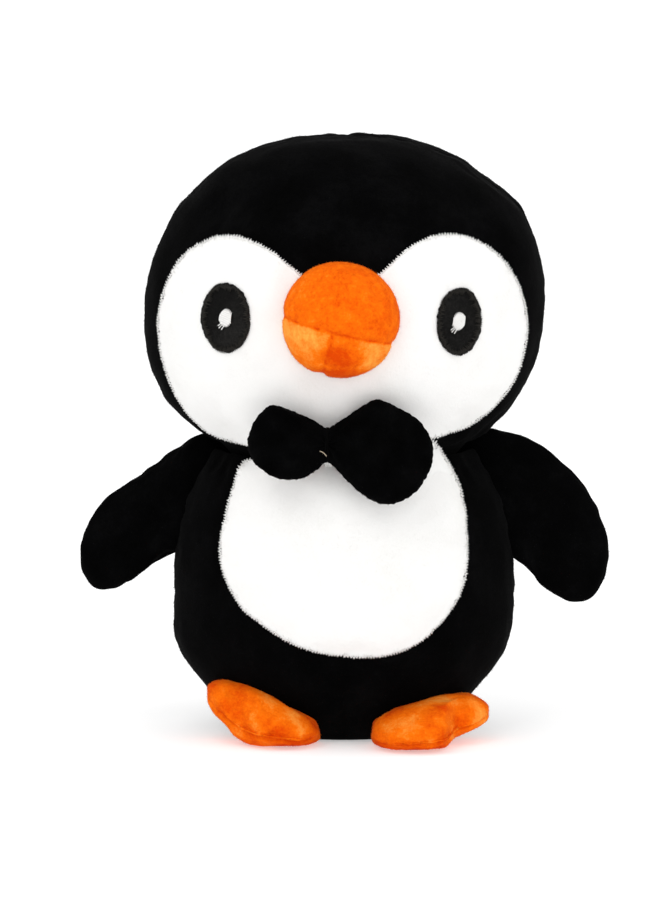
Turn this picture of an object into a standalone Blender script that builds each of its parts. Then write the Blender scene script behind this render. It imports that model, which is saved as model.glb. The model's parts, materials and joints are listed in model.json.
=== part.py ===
"""Plush penguin: stuffed fabric toy, built panel by panel. Metres, +Z up, its front faces -Y.

The origin is the centre of the flat base, on the floor, straight under the neck.
Left and right are as seen from in front: left is -X.
"""

import math

import bmesh
import bpy
from mathutils import Vector

MM = 0.001
GAP = 0.4  # air between pieces that touch, in mm; all lengths below are in mm too
PLUSH = 1.5  # thickness of the plush fabric of the panels
PATCH = 1.0  # thickness of the appliqued patches
PATCH_LIFT = 0.9  # from a panel's face to the underside of a patch on it
ROUND = 28  # sides of the head's and the torso's rings
SHARP = 50  # degrees between two faces from which their edge is drawn sharp
FAR = 95.0  # further than any face of the toy lies from its middle, or from the neck

# Torso: two half ellipsoids of one width, standing on a flat base.
TORSO_WIDE = 71.7
TORSO_MIDDLE = 66.0
TORSO_ABOVE = 81.6
TORSO_BELOW = 77.8
TORSO_DEPTH = 0.88  # depth over width; it grows to 1 at the round neck
TORSO_ROUND_FROM, NECK_HEIGHT = 80.0, 120.5

# Head: wider than deep; its underside is part of a ball, so that it can nod and turn on the neck.
HEAD_MIDDLE = 176.0
HEAD_WIDE, HEAD_DEEP = 83.4, 69.0
HEAD_ABOVE, HEAD_POWER = 74.0, 2.2
HEAD_BELOW_SIDE, HEAD_BELOW_FRONT = 73.5, 84.3
HEAD_YAW = 1.2  # degrees that the head looks towards its right
BALL_CENTRE, BALL_RADIUS = 164.0, 67.6
FROM_BALL = (0.0, 0.0, -BALL_CENTRE)  # the floor, as seen from the head's joints
HEAD_RIM = 122.4
RIM_FLARE = 1.1  # how fast the sides may leave the ball above the rim

NECK_PLUG_RADIUS, NECK_PLUG_BOTTOM = 30.0, 88.0

# Flippers: a round root in the shoulder, and a paddle that droops from it.
SHOULDER_OUT, SHOULDER_HEIGHT = 64.5, 98.5
FLIPPER_DROOP = {"left": 48.0, "right": 53.0}
FLIPPER_LENGTH, FLIPPER_ROOT, FLIPPER_NARROWS = 57.5, 23.0, 4.2
FLIPPER_RISE = 8.3  # how far the paddle's middle line lies above the shoulder's
FLIPPER_TIP_POWER = 3.4
FLIPPER_THICK = 11.0  # from the seam's plane to the face
FLIPPER_CENTRE = (15.0, 3.0)  # where it is thickest, (along, up)

# Feet: flat pads with three toes, the outer toe curled up.
ANKLE_OUT, ANKLE_BACK, ANKLE_HEIGHT = 31.0, -24.0, 3.0
FOOT_FORWARD, FOOT_WIDE, FOOT_LONG, FOOT_THICK = 20.0, 24.0, 20.5, 6.8
FOOT_SPLAY = 12.0
FOOT_POWER = 2.6  # over 2, so that the sole and the top are flatter than an ellipsoid's
TOE_SPREAD, TOE_DEPTH = 58.0, 0.07
TOE_CURL, CURL_FROM = 13.0, 6.0
FOOT_LIFTS = (0.0, 5.0, 10.0, 15.0)  # degrees, through the foot joint's range

BEAK = Vector((0.0, -69.0, 181.0))
BEAK_RADII = Vector((23.8, 23.5, 23.4))
BEAK_SEAM_TILT = 14.0
BEAK_SEAM_HEIGHT = -4.0
BEAK_SPLIT = -5.0

EYE_OUT, EYE_HEIGHT, EYE_HALF_WIDE, EYE_HALF_TALL = 48.7, 179.3, 9.8, 14.2
GLINT_HALF_WIDE, GLINT_HALF_TALL = 2.4, 3.8

BOW = Vector((-7.0, -71.5, 128.5))
BOW_THICK, BOW_THIN = 4.0, 1.3  # half thickness in the lobes and at the waist
WAIST_TALL, WAIST_DEEP = 7.0, 4.2

THREAD_RADIUS = 0.45
THREAD_OUT = 1.6  # from a patch's edge to the middle of the stitching round it
EYE_THREAD_RADIUS, EYE_THREAD_IN = 0.5, 0.6
GLINT_THICK, GATHER_RADIUS = 0.6, 0.6

# Half outlines, (across, height), from the top middle to the bottom middle; the rest is mirrored.
FACE_OUTLINE = (
    (0, 188), (17, 199), (28.5, 208.5), (44.5, 213.8), (57, 210.5), (67, 202), (74, 188),
    (76.8, 172), (74.5, 156), (68.5, 144), (59, 135), (46, 131.3), (24, 130), (0, 130),
)
BELLY_OUTLINE = (
    (0, 118), (22, 118), (40, 116.5), (47, 109.5), (50.3, 98), (51.3, 84), (49.3, 68.5),
    (44, 57.5), (34, 48.5), (22, 41.5), (10, 37.2), (0, 36.2),
)
# The bow tie's outline, (across, height) from its waist, anticlockwise from the waist's top.
BOW_OUTLINE = (
    (0, 5.2), (-7, 9.5), (-15, 13), (-22.5, 16.5), (-29.5, 11), (-33.2, 2.5), (-31.5, -6.5),
    (-25, -13), (-15.5, -14.8), (-7, -11.5), (0, -5.2), (7, -12), (13.5, -20.5), (24, -25),
    (34, -22.3), (41, -14), (43.5, -2), (40.5, 7.5), (31, 14), (20.5, 18.6), (9.5, 11.5),
)

BLACK = (0.012, 0.012, 0.013)
WHITE = (0.93, 0.92, 0.9)
ORANGE = (0.9, 0.2, 0.02)
FIBRE = (0.9, 0.9, 0.88)
DARK = (0.02, 0.02, 0.02)


def clear_scene():
    for thing in list(bpy.data.objects):
        bpy.data.objects.remove(thing)


def fabric(name, colour, roughness=0.9):
    material = bpy.data.materials.new(name)
    material.use_nodes = True
    shader = material.node_tree.nodes["Principled BSDF"]
    shader.inputs["Base Color"].default_value = (*colour, 1.0)
    shader.inputs["Roughness"].default_value = roughness
    shader.inputs["Metallic"].default_value = 0.0
    return material


def smoothstep(low, high, value):
    t = min(1.0, max(0.0, (value - low) / (high - low)))
    return t * t * (3 - 2 * t)


def bulge(t, power=2.0):
    """Height of a superellipse's quarter at t from 0, its middle, to 1, its end."""
    return max(0.0, 1.0 - abs(t) ** power) ** (1.0 / power)


def axis_empty(name, place, turn=(0.0, 0.0, 0.0), parent=None):
    """An empty on a joint's axis, which carries the pieces that move with the joint."""
    empty = bpy.data.objects.new(name, None)
    empty.empty_display_size = 10 * MM
    empty.location = Vector(place) * MM
    empty.rotation_euler = [math.radians(angle) for angle in turn]
    empty.parent = parent
    bpy.context.scene.collection.objects.link(empty)
    return empty


def build(name, mesh, material, parent=None, offset=(0.0, 0.0, 0.0)):
    """A named object from a bmesh in mm. offset is where the mesh's zero lies in its parent."""
    bmesh.ops.recalc_face_normals(mesh, faces=mesh.faces)
    bmesh.ops.scale(mesh, vec=(MM, MM, MM), verts=mesh.verts)
    data = bpy.data.meshes.new(name)
    mesh.to_mesh(data)
    mesh.free()
    if material:
        data.materials.append(material)
    data.shade_smooth()
    data.set_sharp_from_angle(angle=math.radians(SHARP))
    made = bpy.data.objects.new(name, data)
    made.location = Vector(offset) * MM
    made.parent = parent
    bpy.context.scene.collection.objects.link(made)
    return made


def cutter(name, mesh, parent=None, offset=(0.0, 0.0, 0.0)):
    made = build(name, mesh, None, parent, offset)
    made.hide_render = True
    made.display_type = "WIRE"
    return made


def boolean(made, tool, operation):
    step = made.modifiers.new(f"{operation.lower()}_{tool.name}", "BOOLEAN")
    step.operation = operation
    step.solver = "EXACT"
    step.object = tool


def box_mesh(low, high):
    mesh = bmesh.new()
    bmesh.ops.create_cube(mesh, size=1.0)
    for corner in mesh.verts:
        corner.co = [l + (h - l) * (c + 0.5) for l, h, c in zip(low, high, corner.co)]
    return mesh


def join_rows(mesh, rows):
    """Faces between each two rows of points; a row of one point is a centre or a crown."""
    for first, second in zip(rows, rows[1:]):
        size = max(len(first), len(second))
        if size == 1:
            continue
        for i in range(size):
            corners = [first[i % len(first)], first[(i + 1) % len(first)],
                       second[(i + 1) % len(second)], second[i % len(second)]]
            mesh.faces.new(list(dict.fromkeys(corners)))


# Rings: every round body is a loft of level rings, each (height, half width, half depth).


def ring_mesh(rings, segments, closed=False):
    """Joins level ellipses in order. Closed joins the last to the first, or else they get caps."""
    mesh = bmesh.new()
    rows = []
    for height, wide, deep in rings:
        if not wide:
            rows.append([mesh.verts.new((0.0, 0.0, height))])
            continue
        angles = [math.tau * step / segments for step in range(segments)]
        rows.append([mesh.verts.new((wide * math.cos(a), deep * math.sin(a), height)) for a in angles])
    pairs = list(zip(rows, rows[1:]))
    if closed:
        pairs.append((rows[-1], rows[0]))
    for low, high in pairs:
        join_rows(mesh, [low, high])
    if not closed:
        for row in (rows[0], rows[-1]):
            if len(row) > 1:
                mesh.faces.new(row)
    return mesh


def inset_rings(rings, depth):
    """The same rings, which run upwards, moved inwards by depth, square to the surface."""
    moved = []
    for i, (height, wide, deep) in enumerate(rings):
        before, after = rings[max(0, i - 1)], rings[min(len(rings) - 1, i + 1)]
        rise, run = after[0] - before[0], after[1] - before[1]
        size = math.hypot(rise, run)
        side, up = (rise / size, -run / size) if wide else (0.0, 1.0)
        moved.append((height - up * depth, wide - side * depth, deep - side * depth))
    return moved


def torso_size(height):
    """Half width and half depth of the torso at a height."""
    span = TORSO_ABOVE if height > TORSO_MIDDLE else TORSO_BELOW
    wide = TORSO_WIDE * bulge((height - TORSO_MIDDLE) / span)
    depth = TORSO_DEPTH + (1 - TORSO_DEPTH) * smoothstep(TORSO_ROUND_FROM, NECK_HEIGHT, height)
    return wide, wide * depth


def ball_radius(height):
    return math.sqrt(BALL_RADIUS**2 - (BALL_CENTRE - height) ** 2)


def head_size(height):
    """Half width and half depth of the head at a height."""
    if height >= HEAD_MIDDLE:
        share = bulge((height - HEAD_MIDDLE) / HEAD_ABOVE, HEAD_POWER)
        return HEAD_WIDE * share, HEAD_DEEP * share
    wide = HEAD_WIDE * bulge((HEAD_MIDDLE - height) / HEAD_BELOW_SIDE)
    flared = ball_radius(height) + RIM_FLARE * (height - HEAD_RIM)
    return min(wide, flared), HEAD_DEEP * bulge((HEAD_MIDDLE - height) / HEAD_BELOW_FRONT)


def levels(low, high, count):
    return [low + (high - low) * step / (count - 1) for step in range(count)]


def torso_rings(low, high, count):
    """Rings that lie closer together towards the base, where the wall turns under."""
    angles = levels(math.asin((low - TORSO_MIDDLE) / TORSO_BELOW),
                    math.asin((high - TORSO_MIDDLE) / TORSO_ABOVE), count)
    rings = []
    for angle in angles:
        span = TORSO_ABOVE if angle > 0 else TORSO_BELOW
        height = TORSO_MIDDLE + span * math.sin(angle)
        rings.append((height, *torso_size(height)))
    return rings


def head_rings(count):
    """Rings from the neck's rim to the crown, which is the last, single point."""
    start = math.asin((HEAD_RIM - HEAD_MIDDLE) / HEAD_BELOW_SIDE)
    rings = []
    for angle in levels(start, math.pi / 2, count)[:-1]:
        span = HEAD_ABOVE if angle > 0 else HEAD_BELOW_SIDE
        share = abs(math.sin(angle)) ** (2 / HEAD_POWER if angle > 0 else 1.0)
        height = HEAD_MIDDLE + math.copysign(span * share, angle)
        rings.append((height, *head_size(height)))
    return rings + [(HEAD_MIDDLE + HEAD_ABOVE, 0.0, 0.0)]


def ball_rings(radius, outer, inner, count):
    """Rings on the ball of the head's underside, from one distance off its axis to another."""
    return [(BALL_CENTRE - math.sqrt(radius**2 - r * r), r, r) for r in levels(outer, inner, count)]


# Pillows: flat sewn pieces, two faces that meet in a seam round an outline.


def spline_loop(points, count):
    """A smooth closed curve through the points, sampled evenly between each two of them."""
    size = len(points)
    curve = []
    for i in range(size):
        a, b, c, d = (Vector(points[(i + k) % size]) for k in (-1, 0, 1, 2))
        for step in range(count):
            t = step / count
            curve.append(0.5 * (2 * b + (c - a) * t + (2 * a - 5 * b + 4 * c - d) * t * t
                                + (3 * b - a - 3 * c + d) * t**3))
    return curve


def mirrored(half):
    """A whole outline from the half that runs from its top middle to its bottom middle."""
    return list(half) + [(-x, y) for x, y in half[-2:0:-1]]


def disc_rows(outline, centre, shares):
    """Rows of plan points from the middle of an outline outwards; a share of 0 is its centre."""
    centre = Vector(centre)
    return [[centre + (point - centre) * share for point in outline] if share else [centre]
            for share in shares]


def pillow_mesh(outline, centre, puff, place, side, shrink=0.0, skin=0.0, rows=3, power=2.2):
    """One face's fabric (side 1 or -1, with skin as its thickness) or the filling (side 0).

    puff(point) is the half thickness in the middle, place(across, along, height) turns plan
    coordinates into the piece's own frame, and shrink is how far the outline and the faces
    lie inside those of the whole piece.
    """
    mesh = bmesh.new()
    centre = Vector(centre)
    reach = sum((point - centre).length for point in outline) / len(outline)
    shares = [math.sin(math.pi / 2 * step / rows) for step in range(rows + 1)]

    def face_rows(inset, sign, order):
        scale = 1 - inset / reach
        start = sign * GAP / 2 if side else 0.0
        made = []
        for share, row in zip(order, disc_rows(outline, centre, order)):
            heights = [start + sign * (puff(p) - inset) * bulge(share, power) for p in row]
            plan = [centre + (p - centre) * scale for p in row]
            made.append([mesh.verts.new(place(*p, h)) for p, h in zip(plan, heights)])
        return made

    if side:
        outside = face_rows(shrink, side, shares)
        inside = face_rows(shrink + skin, side, shares[::-1])
        join_rows(mesh, outside + inside)
    else:
        upper = face_rows(shrink, 1, shares)
        lower = face_rows(shrink, -1, shares[-2::-1])
        join_rows(mesh, upper + lower)
    return mesh


# Patches: thin pieces that lie on the front of the head or the torso.


def on_front(size_at, across, height, lift):
    """A point on the front of a body of level ellipses, raised square to its surface."""
    def depth(x, z):
        wide, deep = size_at(z)
        return deep * math.sqrt(max(0.0, 1 - (x / wide) ** 2))

    step = 0.5
    here = depth(across, height)
    slope_x = (depth(across + step, height) - depth(across - step, height)) / (2 * step)
    slope_z = (depth(across, height + step) - depth(across, height - step)) / (2 * step)
    out = Vector((-slope_x, -1.0, -slope_z)).normalized()
    return Vector((across, -here, height)) + out * lift


def patch_mesh(size_at, outline, lift, thickness, rows=4):
    """A patch inside an outline, (across, height), with both of its faces and its edge."""
    mesh = bmesh.new()
    centre = sum((Vector(point) for point in outline), Vector((0, 0))) / len(outline)
    shares = [math.sin(math.pi / 2 * step / rows) for step in range(rows + 1)]
    faces = []
    for level, order in ((lift, shares), (lift + thickness, shares[::-1])):
        plan = disc_rows(outline, centre, order)
        faces += [[mesh.verts.new(on_front(size_at, p.x, p.y, level)) for p in row] for row in plan]
    join_rows(mesh, faces)
    return mesh


def cord_mesh(path, radius, facing=(0.0, -1.0, 0.0), sides=3):
    """A closed loop of thread along a path of points, none of which runs along facing."""
    mesh = bmesh.new()
    rings = []
    for i, point in enumerate(path):
        along = (path[(i + 1) % len(path)] - path[i - 1]).normalized()
        across = along.cross(Vector(facing)).normalized()
        out = across.cross(along)
        angles = [math.tau * (k + 0.5) / sides for k in range(sides)]
        rings.append([mesh.verts.new(point + radius * (across * math.cos(a) + out * math.sin(a)))
                      for a in angles])
    for ring, following in zip(rings, rings[1:] + rings[:1]):
        for k in range(sides):
            mesh.faces.new([ring[k], ring[(k + 1) % sides],
                            following[(k + 1) % sides], following[k]])
    return mesh


def stitching(name, size_at, outline, material, parent=None, offset=(0.0, 0.0, 0.0)):
    """A line of thread just outside a patch's edge, on the fabric below it."""
    lift = THREAD_RADIUS + PATCH_LIFT / 2
    path = [on_front(size_at, x, z, lift) for x, z in grown(outline, THREAD_OUT)]
    build(name, cord_mesh(path, THREAD_RADIUS), material, parent, offset)


def grown(outline, by):
    """An outline moved outwards by a distance, as seen from its middle."""
    centre = sum((Vector(point) for point in outline), Vector((0, 0))) / len(outline)
    return [point + (Vector(point) - centre).normalized() * by for point in outline]


def ellipse(across, height, half_wide, half_tall, count=16):
    angles = [math.tau * step / count for step in range(count)]
    return [Vector((across + half_wide * math.cos(a), height + half_tall * math.sin(a)))
            for a in angles]


# The toy's pieces.


def flipper_outline():
    """The outline in the flipper's plane, (along, up) from the shoulder's middle."""
    def edge(along, sign):
        middle = FLIPPER_RISE * smoothstep(-2, 24, along)
        half = FLIPPER_ROOT - FLIPPER_NARROWS * smoothstep(0, 25, along)
        half *= math.sqrt(max(0.0, 1 - (along / FLIPPER_LENGTH) ** FLIPPER_TIP_POWER))
        return Vector((along, middle + sign * half))

    reach = [FLIPPER_LENGTH * math.sin(math.pi / 2 * step / 8) for step in range(9)]
    root = [Vector((-FLIPPER_ROOT * math.sin(angle), FLIPPER_ROOT * math.cos(angle)))
            for angle in (math.pi * step / 6 for step in range(1, 6))]
    return ([edge(along, 1) for along in reach[::-1]] + root
            + [edge(along, -1) for along in reach[:-1]])


def flipper_mesh(sign, face, shrink=0.0, skin=0.0):
    """One part of a flipper, in its own frame: along points away from the body."""
    def place(along, up, height):
        return Vector((sign * along, height, up))

    return pillow_mesh(flipper_outline(), FLIPPER_CENTRE, lambda point: FLIPPER_THICK, place,
                       face, shrink, skin)


def shoulder_tools(side, sign, shoulder):
    """What the torso leaves free for a flipper: its rest shape and the round it turns in."""
    rest = flipper_mesh(sign, 0, shrink=-1.5 * GAP)
    socket = bmesh.new()
    radius, deep = FLIPPER_ROOT + 2 * GAP, 2 * (FLIPPER_THICK + 2 * GAP)
    bmesh.ops.create_cone(socket, cap_ends=True, segments=24, radius1=radius, radius2=radius,
                          depth=deep)
    for corner in socket.verts:
        corner.co = (corner.co.x, -corner.co.z, corner.co.y)
    return [cutter(f"flipper_{side}_clearance", rest, shoulder),
            cutter(f"shoulder_{side}_socket", socket, shoulder)]


def make_flipper(side, sign, plush, fibre, shoulder):
    for name, face in (("front", -1), ("back", 1)):
        build(f"flipper_{side}_{name}_panel", flipper_mesh(sign, face, skin=PLUSH), plush, shoulder)
    filling = flipper_mesh(sign, 0, shrink=PLUSH + 2 * GAP)
    build(f"flipper_{side}_stuffing", filling, fibre, shoulder)


def foot_outline():
    """The sole's outline, (outwards, forwards) from the ankle, with shallow notches for toes."""
    outline = []
    for step in range(24):
        angle = math.tau * step / 24
        from_front = abs(math.degrees(math.atan2(math.sin(angle), math.cos(angle))))
        between_toes = 0.5 * (1 - math.cos(math.radians(from_front * 360 / TOE_SPREAD)))
        notch = TOE_DEPTH * between_toes * (1 - smoothstep(70, 100, from_front))
        outline.append(Vector((FOOT_WIDE * math.sin(angle) * (1 - notch),
                               FOOT_FORWARD + FOOT_LONG * math.cos(angle) * (1 - notch))))
    return outline


def foot_mesh(sign, face, shrink=0.0, skin=0.0):
    """One part of a foot, in the ankle's frame, with the outer toe curling up."""
    middle = FOOT_THICK + GAP / 2 - ANKLE_HEIGHT

    def place(out, forward, height):
        curl = TOE_CURL * max(0.0, (out - CURL_FROM) / (FOOT_WIDE - CURL_FROM)) ** 2
        return Vector((sign * out, -forward, middle + height + curl))

    return pillow_mesh(foot_outline(), (0.0, FOOT_FORWARD), lambda point: FOOT_THICK, place,
                       face, shrink, skin, power=FOOT_POWER)


def torso_clearance_mesh():
    """The lower torso's outside, a little larger, carried down through the base."""
    rings = [(height, wide + GAP, deep + GAP) for height, wide, deep in torso_rings(0.0, 60.0, 8)]
    height, wide, deep = rings[0]
    return ring_mesh([(height - 8.0, wide, deep)] + rings, ROUND)


def foot_tools(side, sign, ankle):
    """The torso as the foot meets it at each step of its lift."""
    tools = []
    for lift in FOOT_LIFTS:
        swing = axis_empty(f"ankle_{side}_lift_{lift:.0f}", (0, 0, 0), (lift, 0, 0), ankle)
        square = axis_empty(f"torso_axes_{side}_{lift:.0f}", (0, 0, 0),
                            (0, 0, -sign * FOOT_SPLAY), swing)
        torso_from_ankle = (-sign * ANKLE_OUT, -ANKLE_BACK, -ANKLE_HEIGHT)
        name = f"torso_from_foot_{side}_{lift:.0f}"
        tools.append(cutter(name, torso_clearance_mesh(), square, torso_from_ankle))
    return tools


def make_foot(side, sign, plush, fibre, ankle):
    made = []
    for name, face in (("top", 1), ("sole", -1)):
        mesh = foot_mesh(sign, face, skin=PLUSH)
        made.append(build(f"foot_{side}_{name}_panel", mesh, plush, ankle))
    filling = foot_mesh(sign, 0, shrink=PLUSH + 2 * GAP)
    made.append(build(f"foot_{side}_stuffing", filling, fibre, ankle))
    for tool in foot_tools(side, sign, ankle):
        for piece in made:
            boolean(piece, tool, "DIFFERENCE")


def make_torso(plush, white, pale, fibre, sockets):
    half = GAP / 2
    wall = torso_rings(PLUSH + GAP, NECK_HEIGHT, 9)
    top = NECK_HEIGHT + 1.0
    quarters = {
        "front_left": ((-FAR, -FAR, 0), (-half, -half, top)),
        "front_right": ((half, -FAR, 0), (FAR, -half, top)),
        "back_left": ((-FAR, half, 0), (-half, FAR, top)),
        "back_right": ((half, half, 0), (FAR, FAR, top)),
    }
    cut = []
    for name, (low, high) in quarters.items():
        skin = ring_mesh(wall + inset_rings(wall, PLUSH)[::-1], ROUND, closed=True)
        panel = build(f"body_{name}_panel", skin, plush)
        boolean(panel, cutter(f"body_{name}_region", box_mesh(low, high)), "INTERSECT")
        cut.append(panel)

    wide, deep = torso_size(0.0)
    edge = 0.5
    base = ring_mesh([(0.0, wide, deep), (PLUSH - edge, wide, deep),
                      (PLUSH, wide - edge, deep - edge)], ROUND)
    build("body_base_panel", base, plush)

    core = inset_rings(wall, PLUSH + GAP)
    core.insert(0, (PLUSH + GAP, core[0][1] - 1.0, core[0][2] - 1.0))
    pocket = NECK_PLUG_RADIUS + GAP
    bowl = ball_rings(BALL_RADIUS + GAP, core[-1][1] - 1.0, pocket, 4)
    floor = NECK_PLUG_BOTTOM - GAP
    rings = core + bowl + [(floor, pocket, pocket), (floor, 0.0, 0.0)]
    cut.append(build("body_stuffing", ring_mesh(rings, ROUND), fibre))
    for piece in cut:
        for tool in sockets:
            boolean(piece, tool, "DIFFERENCE")

    belly = spline_loop(mirrored(BELLY_OUTLINE), 2)
    build("belly_patch", patch_mesh(torso_size, belly, PATCH_LIFT, PATCH), white)
    stitching("belly_patch_stitching", torso_size, belly, pale)


def make_neck_plug(fibre, turn):
    """The filling that passes through the neck: flat below, hollow above to carry the head."""
    top = ball_rings(BALL_RADIUS + GAP, NECK_PLUG_RADIUS, 0.0, 4)
    rings = [(NECK_PLUG_BOTTOM, NECK_PLUG_RADIUS, NECK_PLUG_RADIUS)] + top
    build("neck_stuffing", ring_mesh(rings, 20), fibre, turn, FROM_BALL)


def make_head(plush, fibre, nod):
    half = GAP / 2
    wall = head_rings(10)
    regions = {
        "front": ((-FAR, -FAR, -FAR), (FAR, -half, FAR)),
        "back_left": ((-FAR, half, -FAR), (-half, FAR, FAR)),
        "back_right": ((half, half, -FAR), (FAR, FAR, FAR)),
    }
    for name, (low, high) in regions.items():
        skin = ring_mesh(wall + inset_rings(wall, PLUSH)[::-1], ROUND, closed=True)
        panel = build(f"head_{name}_panel", skin, plush, nod, FROM_BALL)
        region = cutter(f"head_{name}_region", box_mesh(low, high), nod)
        boolean(panel, region, "INTERSECT")

    core = inset_rings(wall, PLUSH + GAP)
    under = ball_rings(BALL_RADIUS - GAP, core[0][1] - 0.8, 0.0, 5)
    build("head_stuffing", ring_mesh(under[::-1] + core, ROUND), fibre, nod, FROM_BALL)


def make_face(white, black, thread, pale, nod):
    face = spline_loop(mirrored(FACE_OUTLINE), 2)
    build("face_patch", patch_mesh(head_size, face, PATCH_LIFT, PATCH, 5), white, nod, FROM_BALL)
    stitching("face_patch_stitching", head_size, face, pale, nod, FROM_BALL)
    on_patch = PATCH_LIFT + PATCH + 2 * GAP
    for side, sign in (("left", -1), ("right", 1)):
        across = sign * EYE_OUT
        inset = EYE_THREAD_IN + 2 * EYE_THREAD_RADIUS
        inner = ellipse(across, EYE_HEIGHT, EYE_HALF_WIDE - inset, EYE_HALF_TALL - inset)
        mesh = patch_mesh(head_size, inner, on_patch, PATCH, 2)
        build(f"eye_{side}", mesh, black, nod, FROM_BALL)
        rim = ellipse(across, EYE_HEIGHT, EYE_HALF_WIDE - EYE_THREAD_IN,
                      EYE_HALF_TALL - EYE_THREAD_IN)
        path = [on_front(head_size, x, z, on_patch + EYE_THREAD_RADIUS) for x, z in rim]
        mesh = cord_mesh(path, EYE_THREAD_RADIUS)
        build(f"eye_{side}_stitching", mesh, thread, nod, FROM_BALL)
        glint = ellipse(across, EYE_HEIGHT, GLINT_HALF_WIDE, GLINT_HALF_TALL, 10)
        mesh = patch_mesh(head_size, glint, on_patch + PATCH + GAP, GLINT_THICK, 1)
        build(f"eye_{side}_glint", mesh, pale, nod, FROM_BALL)


def head_clearance_mesh():
    """The head's outside with its face patch, a little larger."""
    grow = PATCH_LIFT + PATCH + 2 * GAP
    rings = [(height, wide + grow, deep + grow) for height, wide, deep in head_rings(16)[:-1]]
    return ring_mesh(rings, 48)


def beak_rings(inset):
    """The beak while it points up: its base lies behind its middle and its tip comes last."""
    wide, deep, tall = (radius - inset for radius in BEAK_RADII)
    rings = []
    for angle in levels(math.radians(-20), math.pi / 2, 7)[:-1]:
        rings.append((deep * math.sin(angle), wide * math.cos(angle), tall * math.cos(angle)))
    return rings + [(deep, 0.0, 0.0)]


def tip_forwards(mesh):
    for corner in mesh.verts:
        corner.co = (corner.co.x, -corner.co.z, corner.co.y)
    return mesh


def make_beak(plush, fibre, nod):
    """An upper panel over two lower ones; the seam between them runs aslant across the front."""
    half = GAP / 2
    place = BEAK - Vector((0.0, 0.0, BALL_CENTRE))
    face = cutter("face_clearance", head_clearance_mesh(), nod, FROM_BALL)
    tilt = axis_empty("beak_seam", place, (0.0, BEAK_SEAM_TILT, 0.0), nod)
    seam, split = BEAK_SEAM_HEIGHT, BEAK_SPLIT
    regions = {
        "upper": ((-FAR, -FAR, seam + half), (FAR, FAR, FAR)),
        "lower_left": ((-FAR, -FAR, -FAR), (split - half, FAR, seam - half)),
        "lower_right": ((split + half, -FAR, -FAR), (FAR, FAR, seam - half)),
    }
    for name, (low, high) in regions.items():
        skin = ring_mesh(beak_rings(0.0) + beak_rings(PLUSH)[::-1], 20, closed=True)
        panel = build(f"beak_{name}_panel", tip_forwards(skin), plush, nod, place)
        region = cutter(f"beak_{name}_region", box_mesh(low, high), tilt)
        boolean(panel, region, "INTERSECT")
        boolean(panel, face, "DIFFERENCE")
    filling = tip_forwards(ring_mesh(beak_rings(PLUSH + GAP), 20))
    core = build("beak_stuffing", filling, fibre, nod, place)
    boolean(core, face, "DIFFERENCE")


def make_bow(plush, thread, swivel):
    """Two layers of plush cut to one outline and drawn together at the waist by a thread."""
    outline = spline_loop(BOW_OUTLINE, 2)

    def puff(point):
        """The layers stand apart in the lobes and lie close at the waist."""
        return BOW_THIN + (BOW_THICK - BOW_THIN) * smoothstep(2, 16, abs(point.x))

    def place(across, up, height):
        return Vector((across, height, up))

    for name, face in (("front", -1), ("back", 1)):
        mesh = pillow_mesh(outline, (0.0, 0.0), puff, place, face, skin=PATCH)
        build(f"bow_tie_{name}_layer", mesh, plush, swivel)
    ring = [Vector((0.0, p.x, p.y)) for p in ellipse(0.0, 0.0, WAIST_DEEP, WAIST_TALL, 14)]
    thread_ring = cord_mesh(ring, GATHER_RADIUS, facing=(1.0, 0.0, 0.0))
    build("bow_tie_gather_thread", thread_ring, thread, swivel)


def main():
    clear_scene()
    black = fabric("black_plush", BLACK)
    white = fabric("white_plush", WHITE)
    orange = fabric("orange_plush", ORANGE)
    fibre = fabric("polyester_fibre", FIBRE, 1.0)
    dark = fabric("black_thread", DARK, 0.6)
    pale = fabric("white_thread", WHITE, 0.6)

    turn = axis_empty("head_turn_axis", (0, 0, BALL_CENTRE), (0, 0, -HEAD_YAW))
    nod = axis_empty("head_nod_axis", (0, 0, 0), parent=turn)
    swivel = axis_empty("bow_tie_axis", BOW)
    sockets = []
    for side, sign in (("left", -1), ("right", 1)):
        shoulder = axis_empty(f"shoulder_{side}_axis", (sign * SHOULDER_OUT, 0, SHOULDER_HEIGHT),
                              (0, sign * FLIPPER_DROOP[side], 0))
        ankle = axis_empty(f"ankle_{side}_axis", (sign * ANKLE_OUT, ANKLE_BACK, ANKLE_HEIGHT),
                           (0, 0, sign * FOOT_SPLAY))
        make_flipper(side, sign, black, fibre, shoulder)
        make_foot(side, sign, orange, fibre, ankle)
        sockets += shoulder_tools(side, sign, shoulder)
    make_torso(black, white, pale, fibre, sockets)
    make_neck_plug(fibre, turn)
    make_head(black, fibre, nod)
    make_face(white, black, dark, pale, nod)
    make_beak(orange, fibre, nod)
    make_bow(black, dark, swivel)


main()
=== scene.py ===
"""Looks of the plush penguin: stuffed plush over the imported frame. Lengths are in mm until a piece is made.

Left and right are as seen from in front: left is -X. The toy's front faces -Y.
"""
import json
import math

import bmesh
import bpy
import numpy as np
from mathutils import Matrix, Vector, noise
from mathutils.bvhtree import BVHTree
from mathutils.kdtree import KDTree


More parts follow.
